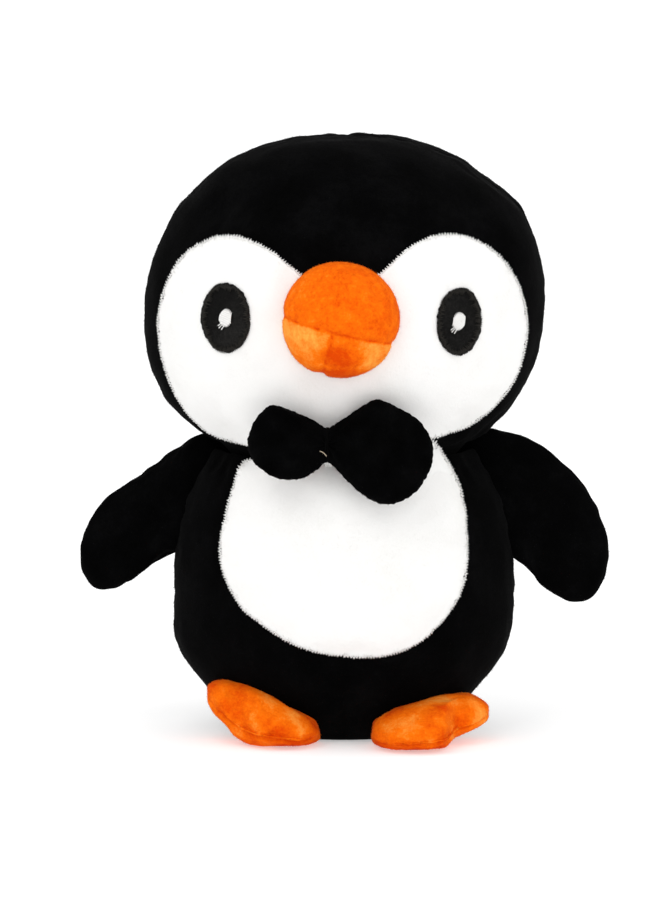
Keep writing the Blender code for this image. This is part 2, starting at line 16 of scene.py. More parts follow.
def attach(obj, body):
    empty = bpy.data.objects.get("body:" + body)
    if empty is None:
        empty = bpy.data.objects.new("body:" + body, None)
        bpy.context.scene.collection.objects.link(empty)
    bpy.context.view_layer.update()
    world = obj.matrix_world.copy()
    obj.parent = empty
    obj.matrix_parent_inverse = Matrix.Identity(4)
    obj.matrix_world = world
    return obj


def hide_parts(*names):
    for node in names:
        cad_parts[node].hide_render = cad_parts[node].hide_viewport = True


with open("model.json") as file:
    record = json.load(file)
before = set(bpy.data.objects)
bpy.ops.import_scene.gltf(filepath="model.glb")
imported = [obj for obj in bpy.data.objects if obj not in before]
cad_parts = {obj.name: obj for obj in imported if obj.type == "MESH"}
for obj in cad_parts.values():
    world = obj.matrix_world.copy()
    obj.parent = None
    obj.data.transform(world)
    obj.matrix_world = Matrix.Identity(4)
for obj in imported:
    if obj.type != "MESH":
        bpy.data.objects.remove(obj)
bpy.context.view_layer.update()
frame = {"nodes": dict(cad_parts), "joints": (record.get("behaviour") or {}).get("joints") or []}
JOINTS = {joint["name"]: joint for joint in frame["joints"]}

MM = 0.001
SEED = 7
NO_SEAM = 99.0  # a distance at which a seam leaves no mark

# Torso and head: stacks of level ellipses, as in the design.
TORSO_WIDE, TORSO_MIDDLE, TORSO_ABOVE, TORSO_BELOW = 70.9, 66.0, 81.6, 77.8
TORSO_DEPTH, TORSO_ROUND_FROM, NECK_HEIGHT = 0.88, 80.0, 120.5
HEAD_MIDDLE, HEAD_WIDE, HEAD_DEEP = 176.0, 82.3, 68.6
HEAD_ABOVE, HEAD_POWER = 73.0, 2.15
HEAD_BELOW_SIDE, HEAD_BELOW_FRONT = 73.5, 84.3
BALL_CENTRE, BALL_RADIUS, HEAD_RIM, RIM_FLARE = 164.0, 67.6, 122.4, 1.1
BALL_GAP = 0.8  # from the ball's middle surface to either skin
BOWL_ABOVE = 80.0
HEAD_YAW = -1.2  # degrees that the head stands turned
HEAD_LEAN = 2.3
CROWN_LEAN, CROWN_LEAN_REACH, CHIN_LEAN, CHIN_LEAN_REACH = 211.0, 22.0, 137.0, 10.0
SEAM_END, SEAM_END_REACH, SEAM_END_PUSH = 219.0, 7.0, 1.4
LOW_CORNER, LOW_CORNER_REACH, LOW_CORNER_PUSH = 37.0, 12.0, {"left": 4.2, "right": 2.6}
FRONT_SEAM_TOP = 41.0  # the belly patch bridges the front seam above this

# The mark that a seam leaves in a stuffed skin, and the filling's lumps.
GROOVE_REACH, VALLEY_REACH, VALLEY_SHARE, PUCKER_REACH = 1.3, 5.0, 0.35, 6.0
LUMP_SIZE, SMALL_LUMP_SIZE, RIPPLE_SIZE = 34.0, 13.0, 5.5
BODY_CORNERS = 1.6  # how far the corners of a stack are softened
# In the simulation: pressure, furthest swell, and how much the cloth may grow.
PRESSURE = {"body": (3.0, 1.6, 0.02), "flipper": (4.0, 1.6, 0.03), "foot": (4.0, 1.0, 0.03),
            "beak": (4.0, 0.7, 0.03)}
# After it: depth of the seams, height of the lumps, and strength of the puckers.
SEWING = {"body": (0.9, 1.2, 0.45), "flipper": (0.5, 0.8, 0.5), "foot": (0.8, 0.7, 0.3),
          "beak": (0.45, 0.5, 0.25)}
ROOT_DEPTH = 0.12  # of a fibre in its skin
BLACK_PILE = {"density": 0.28, "length": 1.0, "width": 0.17, "lean": 1.1}
WHITE_PILE = {"density": 0.9, "length": 0.45, "width": 0.15, "lean": 1.3}
ORANGE_PILE = {"density": 1.6, "length": 0.75, "width": 0.16, "lean": 1.2}
EYE_PILE = {"density": 1.6, "length": 0.55, "width": 0.13, "lean": 1.4}
BOW_PILE = {"density": 0.9, "length": 0.8, "width": 0.13, "lean": 0.9}

ANKLE = {side: Vector(JOINTS[f"foot_{side}_lift"]["pos_m"]) / MM for side in ("left", "right")}
BOW = Vector(JOINTS["bow_tie_swivel"]["pos_m"]) / MM
FLIPPER_HALF_THICK, FLIPPER_MIDDLE = 10.4, (84.0, 90.0)
FLIPPER_FREE, FLIPPER_FIXED = 70.0, 60.0  # it is free out of the first, and held in from the second
FLIPPER_PILE_FROM = 56.0
FLIPPER_EASE = {"left": 0.5, "right": 1.5}
FOOT_SQUARE, FOOT_INNER_END, FOOT_OUTER_END = 2.6, 6.0, 2.7  # powers of the foot's rounding
FOOT_IN_BODY = 2.0  # how far the foot reaches into the torso
SOLE_SEAM_ANGLE, MM_PER_DEGREE = 26.0, 0.22
TOE_GAP = {"left": 11.0, "right": 15.0}

PATCH_LIFT = 1.7
PATCH_STITCH = {"inside": 1.4, "outside": 0.55, "pitch": 1.15, "radius": 0.27, "lift": 1.3}
EYE_STITCH = {"inside": 2.2, "outside": 0.15, "pitch": 0.8, "radius": 0.22, "lift": 0.45, "uneven": 0.45}
FRONT_LIMIT = -15.0  # a ray that hits behind this has missed the toy's front
RAY_START, NEAR_FRONT = -200.0, -60.0
NECK_SPAN, NECK_SPAN_LOW, NECK_SPAN_HIGH = (12.0, 48.0), 112.5, 124.0
BELLY_CORNER = (15.0, 42.0), (110.0, 128.0)  # the stretches across and up that it covers at the neck
TACK_HEIGHT = 119.5

BEAK = Vector((0.0, -69.0, 178.7))
BEAK_RADII = Vector((23.8, 23.5, 23.4))
BEAK_SEAM_TILT, BEAK_SEAM_HEIGHT, BEAK_SPLIT = 14.0, -4.0, -1.8
EYE_OUT, EYE_HALF_TALL = 47.3, 14.2
EYE_HEIGHT = {"left": 178.4, "right": 177.1}
EYE_HALF_WIDE = {"left": 10.5, "right": 9.2}
EYES_ASIDE = 0.5
EYE_LIFT, EYE_FRAY = 1.0, 0.2
HIGHLIGHT_HALF_WIDE, HIGHLIGHT_HALF_TALL, SATIN_RADIUS = 2.3, 3.7, 0.3

# Outlines on the front, (across, height).
FACE_OUTLINE = (
    (0, 186), (-16.5, 197), (-28.8, 206), (-43, 210.8), (-55.5, 207.8), (-65.6, 200), (-72.4, 187),
    (-75, 172), (-72.6, 156), (-67.4, 143), (-60, 133.2), (-49, 126.6), (-26, 124.5), (0, 125.5),
    (24, 127.5), (45, 130), (56.4, 135.6), (65.4, 144.2), (72.2, 156), (75, 172), (72.4, 187),
    (65.6, 200), (55, 208.2), (41.5, 211.8), (27.6, 207.3), (16, 197.4),
)
BELLY_OUTLINE = (
    (0, 118.6), (-24, 118.6), (-40, 116.8), (-44.6, 108), (-47.6, 97.5), (-49.9, 86), (-49.9, 76),
    (-46.3, 66.5), (-40.5, 58), (-32, 51.8), (-21, 45.3), (-7.5, 41), (6.7, 39.4), (20, 40.9),
    (30.9, 45.6), (40.7, 54.8), (46.8, 64), (49.5, 74), (49.7, 86), (48.9, 98), (46.8, 107),
    (43.4, 114.5), (39.6, 121), (36.9, 126.4), (33.8, 128.3), (29, 125.6), (21, 120.5), (11, 118.8),
)
BOW_OUTLINE = (
    (0, 7.4), (-4.6, 10.2), (-10.9, 13.2), (-17, 15.6), (-22.3, 16.9), (-26.4, 14), (-30.3, 8.5),
    (-32.2, 0.6), (-29.6, -6.5), (-23.3, -11.6), (-16.3, -13.7), (-9.3, -12.7), (-3.8, -9.6),
    (0, -6.4), (4.6, -10.3), (9.8, -15.7), (17.2, -21.6), (25, -23.7), (33.5, -20.6),
    (39, -14.6), (42.4, -7.2), (42.6, 1.5), (37.5, 10.1), (28.6, 15.9), (20.2, 19.1),
    (14.1, 16.1), (7.2, 11.6),
)

# Flipper outlines in the plane of the shoulders, (outwards, height), from the armpit round the tip.
FLIPPER_OUTLINE = {
    "left": (
        (70.2, 74.2), (76, 71.2), (82.5, 66.6), (90.5, 61.7), (98.5, 58.9), (104.8, 59.8),
        (108.4, 65), (109.5, 72.5), (108, 81), (104.3, 89.6), (97.8, 97.6), (88.5, 105.4),
        (77.5, 112.8), (68.5, 119), (60, 123.4), (51.5, 124), (46, 110), (48, 92), (56, 80.5),
    ),
    "right": (
        (70.5, 73.2), (78, 67.6), (84, 62), (90.5, 57), (98, 54.2), (104.4, 57.2), (107.6, 63.4),
        (109, 72), (107.8, 82), (104.4, 92.6), (98, 102.6), (88.5, 112), (78.5, 119.4),
        (68.5, 123.8), (59.5, 125.2), (51.5, 124), (46, 108), (48, 90), (57, 79),
    ),
}

# Feet: (outwards from the ankle, middle height, half thickness, reach forwards from the ankle).
FOOT_SECTIONS = {
    "left": (
        (-21, 6.5, 6.6, 29), (-13, 7.9, 8.0, 34), (-4, 9.6, 9.6, 35), (4, 11.2, 11.3, 34),
        (9, 12.3, 12.0, 29), (13, 13.8, 11.4, 27), (18, 17.0, 9.8, 28), (25.5, 20.2, 8.0, 25),
    ),
    "right": (
        (-20, 6.0, 6.2, 36), (-12, 6.9, 7.1, 42), (-3, 8.1, 8.3, 44), (5, 9.2, 9.3, 44),
        (11, 10.0, 9.9, 42), (15, 11.2, 8.9, 24), (21, 12.2, 8.6, 27), (28.6, 12.4, 6.6, 26),
    ),
}


# ---- small maths


def smoothstep(low, high, value):
    """0 up to low and 1 from high, with a smooth rise between."""
    t = np.clip((value - low) / (high - low), 0.0, 1.0)
    return t * t * (3 - 2 * t)


def bulge(t, power=2.0):
    """The height of a rounded hump, 1 in its middle and 0 at t = 1 or -1."""
    return np.maximum(0.0, 1.0 - np.abs(t) ** power) ** (1.0 / power)


def ridge(distance, reach):
    """1 at no distance, fading out over a reach."""
    return np.exp(-(distance / reach) ** 2)


def unit(vectors):
    """The vectors at length 1."""
    return vectors / np.maximum(np.linalg.norm(vectors, axis=-1, keepdims=True), 1e-12)


def field(points, size, shift=0.0):
    """Smooth noise, about -0.5 to 0.5, with features of a size in mm."""
    offset = Vector((shift, 2.3 * shift, -1.7 * shift))
    return np.array([noise.noise(Vector(p) / size + offset) for p in points])


def flat_field(plan, size, shift=0.0):
    """The same noise at points of a plane."""
    return field(np.column_stack([plan, np.zeros(len(plan))]), size, shift)


def spline_loop(points, count):
    """A smooth closed curve through points, sampled count times between each two."""
    size, curve = len(points), []
    for i in range(size):
        a, b, c, d = (np.array(points[(i + k) % size], float) for k in (-1, 0, 1, 2))
        for t in np.arange(count) / count:
            curve.append(0.5 * (2 * b + (c - a) * t + (2 * a - 5 * b + 4 * c - d) * t * t
                                + (3 * b - a - 3 * c + d) * t**3))
    return np.array(curve)


def even_loop(loop, spacing):
    """The same closed curve with points at an even spacing."""
    closed = np.vstack([loop, loop[:1]])
    along = np.concatenate([[0], np.cumsum(np.linalg.norm(np.diff(closed, axis=0), axis=1))])
    count = max(8, int(round(along[-1] / spacing)))
    stops = np.arange(count) * along[-1] / count
    return np.stack([np.interp(stops, along, closed[:, k]) for k in range(loop.shape[1])], 1)


def outward(loop):
    """Unit vectors in the plane that point out of a closed plane curve."""
    along = np.roll(loop, -1, 0) - np.roll(loop, 1, 0)
    out = unit(np.stack([along[:, 1], -along[:, 0]], 1))
    middle = loop.mean(0)
    return out if ((loop - middle) * out).sum() > 0 else -out


# ---- meshes


def in_scene(name, data):
    """A new object in the scene for a mesh, a light or a camera."""
    made = bpy.data.objects.new(name, data)
    bpy.context.scene.collection.objects.link(made)
    return made


def turned(vectors, degrees):
    """Vectors turned about the vertical."""
    return vectors @ np.array(Matrix.Rotation(math.radians(degrees), 3, "Z")).T


def make(name, points, faces, material, body, replaces=(), turn=0.0):
    """A shaded piece from points in mm, turned about the vertical, which rides on a body."""
    data = bpy.data.meshes.new(name)
    points = turned(np.asarray(points, float), turn)
    data.from_pydata((points * MM).tolist(), [], [list(map(int, f)) for f in faces])
    data.validate()
    data.materials.append(material)
    data.shade_smooth()
    piece = in_scene(name, data)
    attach(piece, body)
    if replaces:
        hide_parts(*replaces)
    return piece


def paint(piece, values):
    """Stores how light the pile looks at each point, 0 to 1, for the material to read; on the beak and feet
    this includes painted light and shade.
    """
    layer = piece.data.attributes.new("nap", "FLOAT", "POINT")
    layer.data.foreach_set("value", np.clip(values, 0, 1).astype(np.float32))


def cube_ball(count):
    """Directions and quads of a cube of count by count faces a side, blown up to a ball."""
    mesh = bmesh.new()
    bmesh.ops.create_cube(mesh, size=2.0)
    bmesh.ops.subdivide_edges(mesh, edges=mesh.edges[:], cuts=count - 1, use_grid_fill=True)
    points = np.array([v.co[:] for v in mesh.verts])
    faces = [[v.index for v in f.verts] for f in mesh.faces]
    mesh.free()
    return unit(np.tan(points * math.pi / 4)), faces


def evaluated(scratch):
    """Points and faces of a scratch object with its modifier applied. The object is removed."""
    made = scratch.evaluated_get(bpy.context.evaluated_depsgraph_get()).to_mesh()
    points = np.array([v.co[:] for v in made.vertices])
    faces = [list(p.vertices) for p in made.polygons]
    data = scratch.data
    bpy.data.objects.remove(scratch)
    bpy.data.meshes.remove(data)
    return points, faces


def refine(points, faces):
    """One Catmull-Clark subdivision."""
    data = bpy.data.meshes.new("refine")
    data.from_pydata(points.tolist(), [], faces)
    scratch = in_scene("refine", data)
    step = scratch.modifiers.new("refine", "SUBSURF")
    step.levels = step.render_levels = 1
    return evaluated(scratch)


def refine_with(points, faces, values):
    """The same, and a value at each point, carried as a third coordinate."""
    carried, _ = refine(np.column_stack([points[:, :2], values]), faces)
    return (*refine(points, faces), carried[:, 2])


def normals_of(points, faces):
    """Unit normals at the points of a mesh of triangles and quads."""
    quads = np.array([f if len(f) == 4 else list(f) + [f[0]] for f in faces])
    a, b, c, d = (points[quads[:, k]] for k in range(4))
    face = np.cross(c - a, d - b)
    found = np.zeros_like(points)
    for k in range(4):
        np.add.at(found, quads[:, k], face)
    return unit(found)


def triangles_of(points, faces):
    """The point numbers of a mesh's triangles, and their areas."""
    corners = np.array([f[:3] for f in faces] + [[f[0], f[2], f[3]] for f in faces if len(f) == 4])
    a, b, c = (points[corners[:, k]] for k in range(3))
    return corners, np.linalg.norm(np.cross(b - a, c - a), axis=1) / 2


def ring_faces(rings, count):
    """Quads between rings of count points, and triangles from the last ring to a middle point."""
    faces = []
    for r in range(rings - 1):
        a, b = r * count, (r + 1) * count
        faces += [[a + i, a + (i + 1) % count, b + (i + 1) % count, b + i] for i in range(count)]
    last = (rings - 1) * count
    return faces + [[last + i, last + (i + 1) % count, rings * count] for i in range(count)]


def plump(points, faces, pins, pressure, cap, growth):
    """Cloth under the filling's pressure. pins is 1 where a seam holds the fabric back."""
    loose, frames = 0.02, 20
    data = bpy.data.meshes.new("plump")
    data.from_pydata((points * MM).tolist(), [], faces)
    scratch = in_scene("plump", data)
    held = scratch.vertex_groups.new(name="seams")
    for index, weight in enumerate(pins):
        if weight > loose:
            held.add([index], float(weight), "REPLACE")
    step = scratch.modifiers.new("plump", "CLOTH")
    cloth = step.settings
    cloth.quality = 5
    cloth.mass = 0.3
    cloth.tension_stiffness = cloth.compression_stiffness = 15.0
    cloth.shear_stiffness = 5.0
    cloth.bending_stiffness = 0.3
    cloth.use_pressure = True
    cloth.uniform_pressure_force = pressure
    cloth.shrink_min = -growth
    cloth.vertex_group_mass = "seams"
    cloth.effector_weights.gravity = 0.0
    step.collision_settings.use_collision = False
    step.point_cache.frame_start, step.point_cache.frame_end = 1, frames
    for number in range(1, frames + 1):
        bpy.context.scene.frame_set(number)
    puffed = evaluated(scratch)[0] / MM
    bpy.context.scene.frame_set(1)
    move = puffed - points
    size = np.linalg.norm(move, axis=1, keepdims=True)
    return points + move * np.minimum(1.0, cap / np.maximum(size, 1e-9))


def tube(path, radius, sides=5, closed=False):
    """Points and faces of a thread along a path."""
    path = np.asarray(path, float)
    if closed:
        along = unit(np.roll(path, -1, 0) - np.roll(path, 1, 0))
    else:
        along = unit(np.gradient(path, axis=0))
    side = np.cross(along, [0.0, -1.0, 0.02])
    side = unit(np.where(np.linalg.norm(side, axis=1, keepdims=True) < 0.05, [[1.0, 0, 0]], side))
    up = np.cross(side, along)
    radius = np.broadcast_to(radius, len(path))
    angles = math.tau * np.arange(sides) / sides
    rings = (path[:, None] + radius[:, None, None] * (side[:, None] * np.cos(angles)[None, :, None]
                                                      + up[:, None] * np.sin(angles)[None, :, None]))
    points, faces, rows = rings.reshape(-1, 3), [], len(path)
    for i in range(rows if closed else rows - 1):
        for k in range(sides):
            a, b = i * sides, ((i + 1) % rows) * sides
            faces.append([a + k, a + (k + 1) % sides, b + (k + 1) % sides, b + k])
    if not closed:
        faces.append(list(range(sides))[::-1])
        faces.append([(rows - 1) * sides + k for k in range(sides)])
    return points, faces


def joined(parts):
    """Several (points, faces) as one."""
    points, faces, start = [], [], 0
    for p, f in parts:
        points.append(np.asarray(p))
        faces += [[i + start for i in face] for face in f]
        start += len(p)
    return np.vstack(points), faces


def stack(rings, soften):
    """(height, wide, deep) by share of the way from the bottom to the top, corners softened."""
    rings = np.array(rings, float)
    along = np.concatenate([[0], np.cumsum(np.hypot(np.diff(rings[:, 0]), np.diff(rings[:, 1])))])
    step = 0.25
    stops = np.arange(0, along[-1], step)
    even = np.stack([np.interp(stops, along, rings[:, k]) for k in range(3)], 1)
    pad = int(4 * soften / step)
    through_axis = np.array([1, -1, -1])
    before, after = even[1:pad + 1][::-1] * through_axis, even[-pad - 1:-1][::-1] * through_axis
    before[:, 0], after[:, 0] = even[0, 0], even[-1, 0]
    long = np.vstack([before, even, after])
    kernel = np.exp(-0.5 * (np.arange(-pad, pad + 1) * step / soften) ** 2)
    kernel /= kernel.sum()
    soft = np.stack([np.convolve(long[:, k], kernel, "same") for k in range(3)], 1)[pad:-pad]
    soft[0, 1:] = soft[-1, 1:] = 0.0
    return soft


def lathe(directions, profile):
    """A stack's skin: each direction's latitude picks the level, its longitude the place round it."""
    share = np.arcsin(np.clip(directions[:, 2], -1, 1)) / math.pi + 0.5
    stops = np.linspace(0, 1, len(profile))
    height, wide, deep = (np.interp(share, stops, profile[:, k]) for k in range(3))
    angle = np.arctan2(directions[:, 1], directions[:, 0])
    return np.stack([wide * np.cos(angle), deep * np.sin(angle), height], 1)


# ---- materials


def node(tree, kind, **settings):
    """A new shader node. Each setting is an input's value or else a property."""
    made = tree.nodes.new(kind)
    for key, value in settings.items():
        if key in made.inputs:
            made.inputs[key].default_value = value
        else:
            setattr(made, key, value)
    return made


def principled(name, roughness, specular):
    """A new material, with its node tree and its shader."""
    material = bpy.data.materials.new(name)
    material.use_nodes = True
    shader = material.node_tree.nodes["Principled BSDF"]
    shader.inputs["Roughness"].default_value = roughness
    shader.inputs["Specular IOR Level"].default_value = specular
    return material, material.node_tree, shader


def on_object(tree, texture):
    """Lays a texture out in its object's own space."""
    place = node(tree, "ShaderNodeTexCoord")
    tree.links.new(place.outputs["Object"], texture.inputs["Vector"])
    return texture


def centred(tree, texture, amount):
    """A texture's value about 0, over a range of an amount."""
    scaled = node(tree, "ShaderNodeMath", operation="MULTIPLY_ADD")
    scaled.inputs[1].default_value = amount
    scaled.inputs[2].default_value = -amount / 2
    tree.links.new(texture.outputs["Fac"], scaled.inputs[0])
    return scaled.outputs[0]


def added(tree, first, second, clamp=False):
    """The sum of two values."""
    total = node(tree, "ShaderNodeMath", operation="ADD", use_clamp=clamp)
    tree.links.new(first, total.inputs[0])
    tree.links.new(second, total.inputs[1])
    return total.outputs[0]


def coloured(tree, shader, value, colours):
    """The shader's colour: even steps through colours as a value goes from 0 to 1."""
    ramp = node(tree, "ShaderNodeValToRGB")
    stops = ramp.color_ramp.elements
    stops[0].color = (*colours[0], 1)
    stops[1].color = (*colours[-1], 1)
    for number, colour in enumerate(colours[1:-1], 1):
        stops.new(number / (len(colours) - 1)).color = (*colour, 1)
    tree.links.new(value, ramp.inputs["Fac"])
    tree.links.new(ramp.outputs["Color"], shader.inputs["Base Color"])


def bumped(tree, shader, texture, strength, distance):
    """Bump on the shader from a texture."""
    raised = node(tree, "ShaderNodeBump", Strength=strength, Distance=distance * MM)
    tree.links.new(texture.outputs["Fac"], raised.inputs["Height"])
    tree.links.new(raised.outputs["Normal"], shader.inputs["Normal"])


def plush(name, dark, middle, light, grain=0.9, clump=4.0, bump=0.5, sheen=0.05,
          sheen_tint=(1, 1, 1), specular=0.05):
    """Short pile: three shades by its nap, mottled in clumps, over a fine bump of fibre ends."""
    material, tree, shader = principled(name, 0.9, specular)
    shader.inputs["Sheen Weight"].default_value = sheen
    shader.inputs["Sheen Roughness"].default_value = 0.45
    shader.inputs["Sheen Tint"].default_value = (*sheen_tint, 1)
    nap = node(tree, "ShaderNodeAttribute", attribute_name="nap")
    fine = on_object(tree, node(tree, "ShaderNodeTexNoise", Scale=1 / (grain * MM), Detail=2.0,
                                Roughness=0.6))
    soft = on_object(tree, node(tree, "ShaderNodeTexNoise", Scale=1 / (clump * MM), Detail=3.0,
                                Roughness=0.55))
    ruffled = added(tree, nap.outputs["Fac"], centred(tree, fine, 0.5))
    mottled = added(tree, ruffled, centred(tree, soft, 0.7), clamp=True)
    coloured(tree, shader, mottled, (dark, middle, light))
    bumped(tree, shader, fine, bump, 0.35)
    return material


def thread(name, colour, specular=0.2):
    """Twisted sewing thread: fine slanting bands of light and dark."""
    material, tree, shader = principled(name, 0.5, specular)
    twist, shadow = 1.5, 0.72
    bands = on_object(tree, node(tree, "ShaderNodeTexWave", Scale=1 / (twist * MM), Distortion=3.0,
                                 Detail=2.0, bands_direction="DIAGONAL"))
    coloured(tree, shader, bands.outputs["Fac"], ([shadow * c for c in colour], colour))
    bumped(tree, shader, bands, 0.4, 0.1)
    return material


def fibre(name, colour, sheen=0.05):
    """The ends of the pile that stand off a skin: one plain colour."""
    material, _, shader = principled(name, 0.9, 0.04)
    shader.inputs["Base Color"].default_value = (*colour, 1)
    shader.inputs["Sheen Weight"].default_value = sheen
    return material


BLACK = plush("black_plush_pile", (0.0005, 0.0005, 0.0005), (0.0013, 0.0013, 0.0014),
              (0.003, 0.003, 0.0032), sheen=0.007, specular=0.01)
WHITE = plush("white_plush_pile", (0.77, 0.76, 0.735), (0.835, 0.83, 0.815),
              (0.855, 0.85, 0.84), clump=9.0, bump=0.35, sheen=0.02)
ORANGE = plush("orange_plush_pile", (0.7, 0.06, 0.001), (0.92, 0.165, 0.003),
               (0.97, 0.38, 0.06), clump=3.2, bump=0.6, sheen=0.03, sheen_tint=(1.0, 0.5, 0.1),
               specular=0.02)
EYE_FELT = plush("black_eye_felt", (0.002, 0.002, 0.002), (0.006, 0.0058, 0.0055),
                 (0.02, 0.019, 0.018), grain=0.7, clump=1.6, bump=0.9, sheen=0.012)
FIBRE = plush("polyester_fibre_fill", (0.7, 0.7, 0.68), (0.85, 0.85, 0.83), (0.92, 0.92, 0.9))
WHITE_THREAD = thread("white_sewing_thread", (0.93, 0.92, 0.9))
EYE_THREAD = thread("black_eye_thread", (0.026, 0.024, 0.021), 0.05)
BLACK_THREAD = thread("black_sewing_thread", (0.002, 0.002, 0.002), 0.01)
TAN_THREAD = thread("tan_sewing_thread", (0.5, 0.42, 0.3))
BLACK_FIBRE = fibre("black_pile_fibre", (0.003, 0.003, 0.0032), 0.006)
WHITE_FIBRE = fibre("white_pile_fibre", (0.85, 0.845, 0.83))
EYE_FIBRE = fibre("eye_felt_fibre", (0.016, 0.015, 0.014), 0.01)
ORANGE_FIBRES = (  # shade, least nap, most nap, material
    ("dark", -1.0, 0.3, fibre("dark_orange_fibre", (0.8, 0.085, 0.002), 0.02)),
    ("middle", 0.3, 0.6, fibre("orange_fibre", (0.93, 0.17, 0.004), 0.02)),
    ("light", 0.6, 2.0, fibre("light_orange_fibre", (0.97, 0.33, 0.045), 0.02)),
)


# ---- stuffed skins


def stuffed(points, faces, seams, depth, lumps, pucker, shift):
    """Sews the seams into a skin: valleys, the puckers beside them, and the filling's lumps."""
    normals = normals_of(points, faces)
    move = lumps * (field(points, LUMP_SIZE, shift) + 0.45 * field(points, SMALL_LUMP_SIZE, shift + 5))
    ripple = field(points, RIPPLE_SIZE, shift + 9)
    for distance in seams:
        move -= depth * ridge(distance, GROOVE_REACH)
        move -= VALLEY_SHARE * depth * ridge(distance, VALLEY_REACH)
        move += 2 * pucker * ripple * np.exp(-distance / PUCKER_REACH)
    return points + normals * move[:, None]


def seam_pins(seams, hidden):
    """How firmly the simulation holds each point: at the seams, and where it is out of sight."""
    return np.maximum(hidden, ridge(np.minimum(*seams), 2.0))


def skin(name, points, faces, material, body, toy_part, panels, nap, turn=0.0):
    """A closed stuffed skin, which stands for its panels and its filling."""
    replaced = [f"{toy_part}_{panel}_panel" for panel in panels] + [f"{toy_part}_stuffing"]
    piece = make(name, points, faces, material, body, replaced, turn)
    paint(piece, nap)


def corner(points, height, reach, amount):
    """Sideways push where the end of a seam makes a corner in the outline."""
    side = np.sign(points[:, 0])
    push = amount * np.exp(-(((points[:, 2] - height) / reach) ** 2) - (points[:, 1] / (2 * reach)) ** 2)
    return side * push


def torso_size(height):
    """Half the torso's width and half its depth at a height."""
    span = np.where(height > TORSO_MIDDLE, TORSO_ABOVE, TORSO_BELOW)
    wide = TORSO_WIDE * bulge((height - TORSO_MIDDLE) / span)
    rounder = smoothstep(TORSO_ROUND_FROM, NECK_HEIGHT, height)
    return wide, wide * (TORSO_DEPTH + (1 - TORSO_DEPTH) * rounder)


def head_size(height):
    """Half the head's width and half its depth at a height."""
    if height >= HEAD_MIDDLE:
        share = bulge((height - HEAD_MIDDLE) / HEAD_ABOVE, HEAD_POWER)
        return HEAD_WIDE * share, HEAD_DEEP * share
    wide = HEAD_WIDE * bulge((HEAD_MIDDLE - height) / HEAD_BELOW_SIDE)
    flared = ball_radius(height) + RIM_FLARE * (height - HEAD_RIM)
    return min(wide, flared), HEAD_DEEP * bulge((HEAD_MIDDLE - height) / HEAD_BELOW_FRONT)


def ball_radius(height):
    """The radius, at a height, of the ball on which the head turns in the torso's bowl."""
    return math.sqrt(BALL_RADIUS**2 - (BALL_CENTRE - height) ** 2)


def head_lean(height):
    """How far the filling pushes the head aside at a height: the crown one way, the chin the other."""
    chin = ridge(height - CHIN_LEAN, CHIN_LEAN_REACH)
    return HEAD_LEAN * (ridge(height - CROWN_LEAN, CROWN_LEAN_REACH) - 0.5 * chin)


def ball_rings(radius, radii):
    """Rings of the given radii on the lower half of the ball."""
    return [(BALL_CENTRE - math.sqrt(radius**2 - r * r), r, r) for r in radii]


def to_ball_centre(points):
    """Each point's distance from the middle of the ball."""
    return np.linalg.norm(points - [0, 0, BALL_CENTRE], axis=1)


def torso_seams(points):
    """Distances from the seams: front and back middle, and sides."""
    bridged = (points[:, 1] < 0) & (points[:, 2] > FRONT_SEAM_TOP)
    return [np.where(bridged, NO_SEAM, np.abs(points[:, 0])), np.abs(points[:, 1])]


def head_seams(points):
    """Distances from the seams: over the crown from side to side, and down the back."""
    return [np.abs(points[:, 1]), np.where(points[:, 1] > 0, np.abs(points[:, 0]), NO_SEAM)]


def torso_skin():
    """The torso, its base and the bowl that the head sits in, as one closed skin."""
    wall = [(h, *torso_size(h)) for h in np.linspace(0, NECK_HEIGHT - 0.5, 160)]
    base = [(0.0, r, r * TORSO_DEPTH) for r in np.linspace(0, wall[0][1], 20)[:-1]]
    bowl = ball_rings(BALL_RADIUS + BALL_GAP, np.linspace(wall[-1][1] - 1.5, 0, 30))
    directions, faces = cube_ball(40)
    points = lathe(directions, stack(base + wall + bowl, BODY_CORNERS))
    from_axis, height = np.hypot(points[:, 0], points[:, 1]), points[:, 2]
    in_bowl = (from_axis < ball_radius(NECK_HEIGHT) - 1) & (height > BOWL_ABOVE)
    hidden = (height < 1.5) | (height > NECK_HEIGHT - 1) | in_bowl
    points = plump(points, faces, seam_pins(torso_seams(points), hidden), *PRESSURE["body"])
    points, faces = refine(points, faces)
    height = points[:, 2]
    free = (1 - smoothstep(NECK_HEIGHT - 6, NECK_HEIGHT, height)) * smoothstep(0.0, 4.0, height)
    moved = stuffed(points, faces, torso_seams(points), *SEWING["body"], shift=1.0)
    push = np.where(points[:, 0] < 0, LOW_CORNER_PUSH["left"], LOW_CORNER_PUSH["right"])
    moved[:, 0] += corner(points, LOW_CORNER, LOW_CORNER_REACH, push)
    points = points + (moved - points) * free[:, None]
    points[:, 2] = np.maximum(points[:, 2], 0.0)
    panels = ("front_left", "front_right", "back_left", "back_right", "base")
    nap = 0.45 + 0.5 * field(points, 18, 3)
    skin("torso_skin", points, faces, BLACK, "torso", "body", panels, nap)
    return points, faces


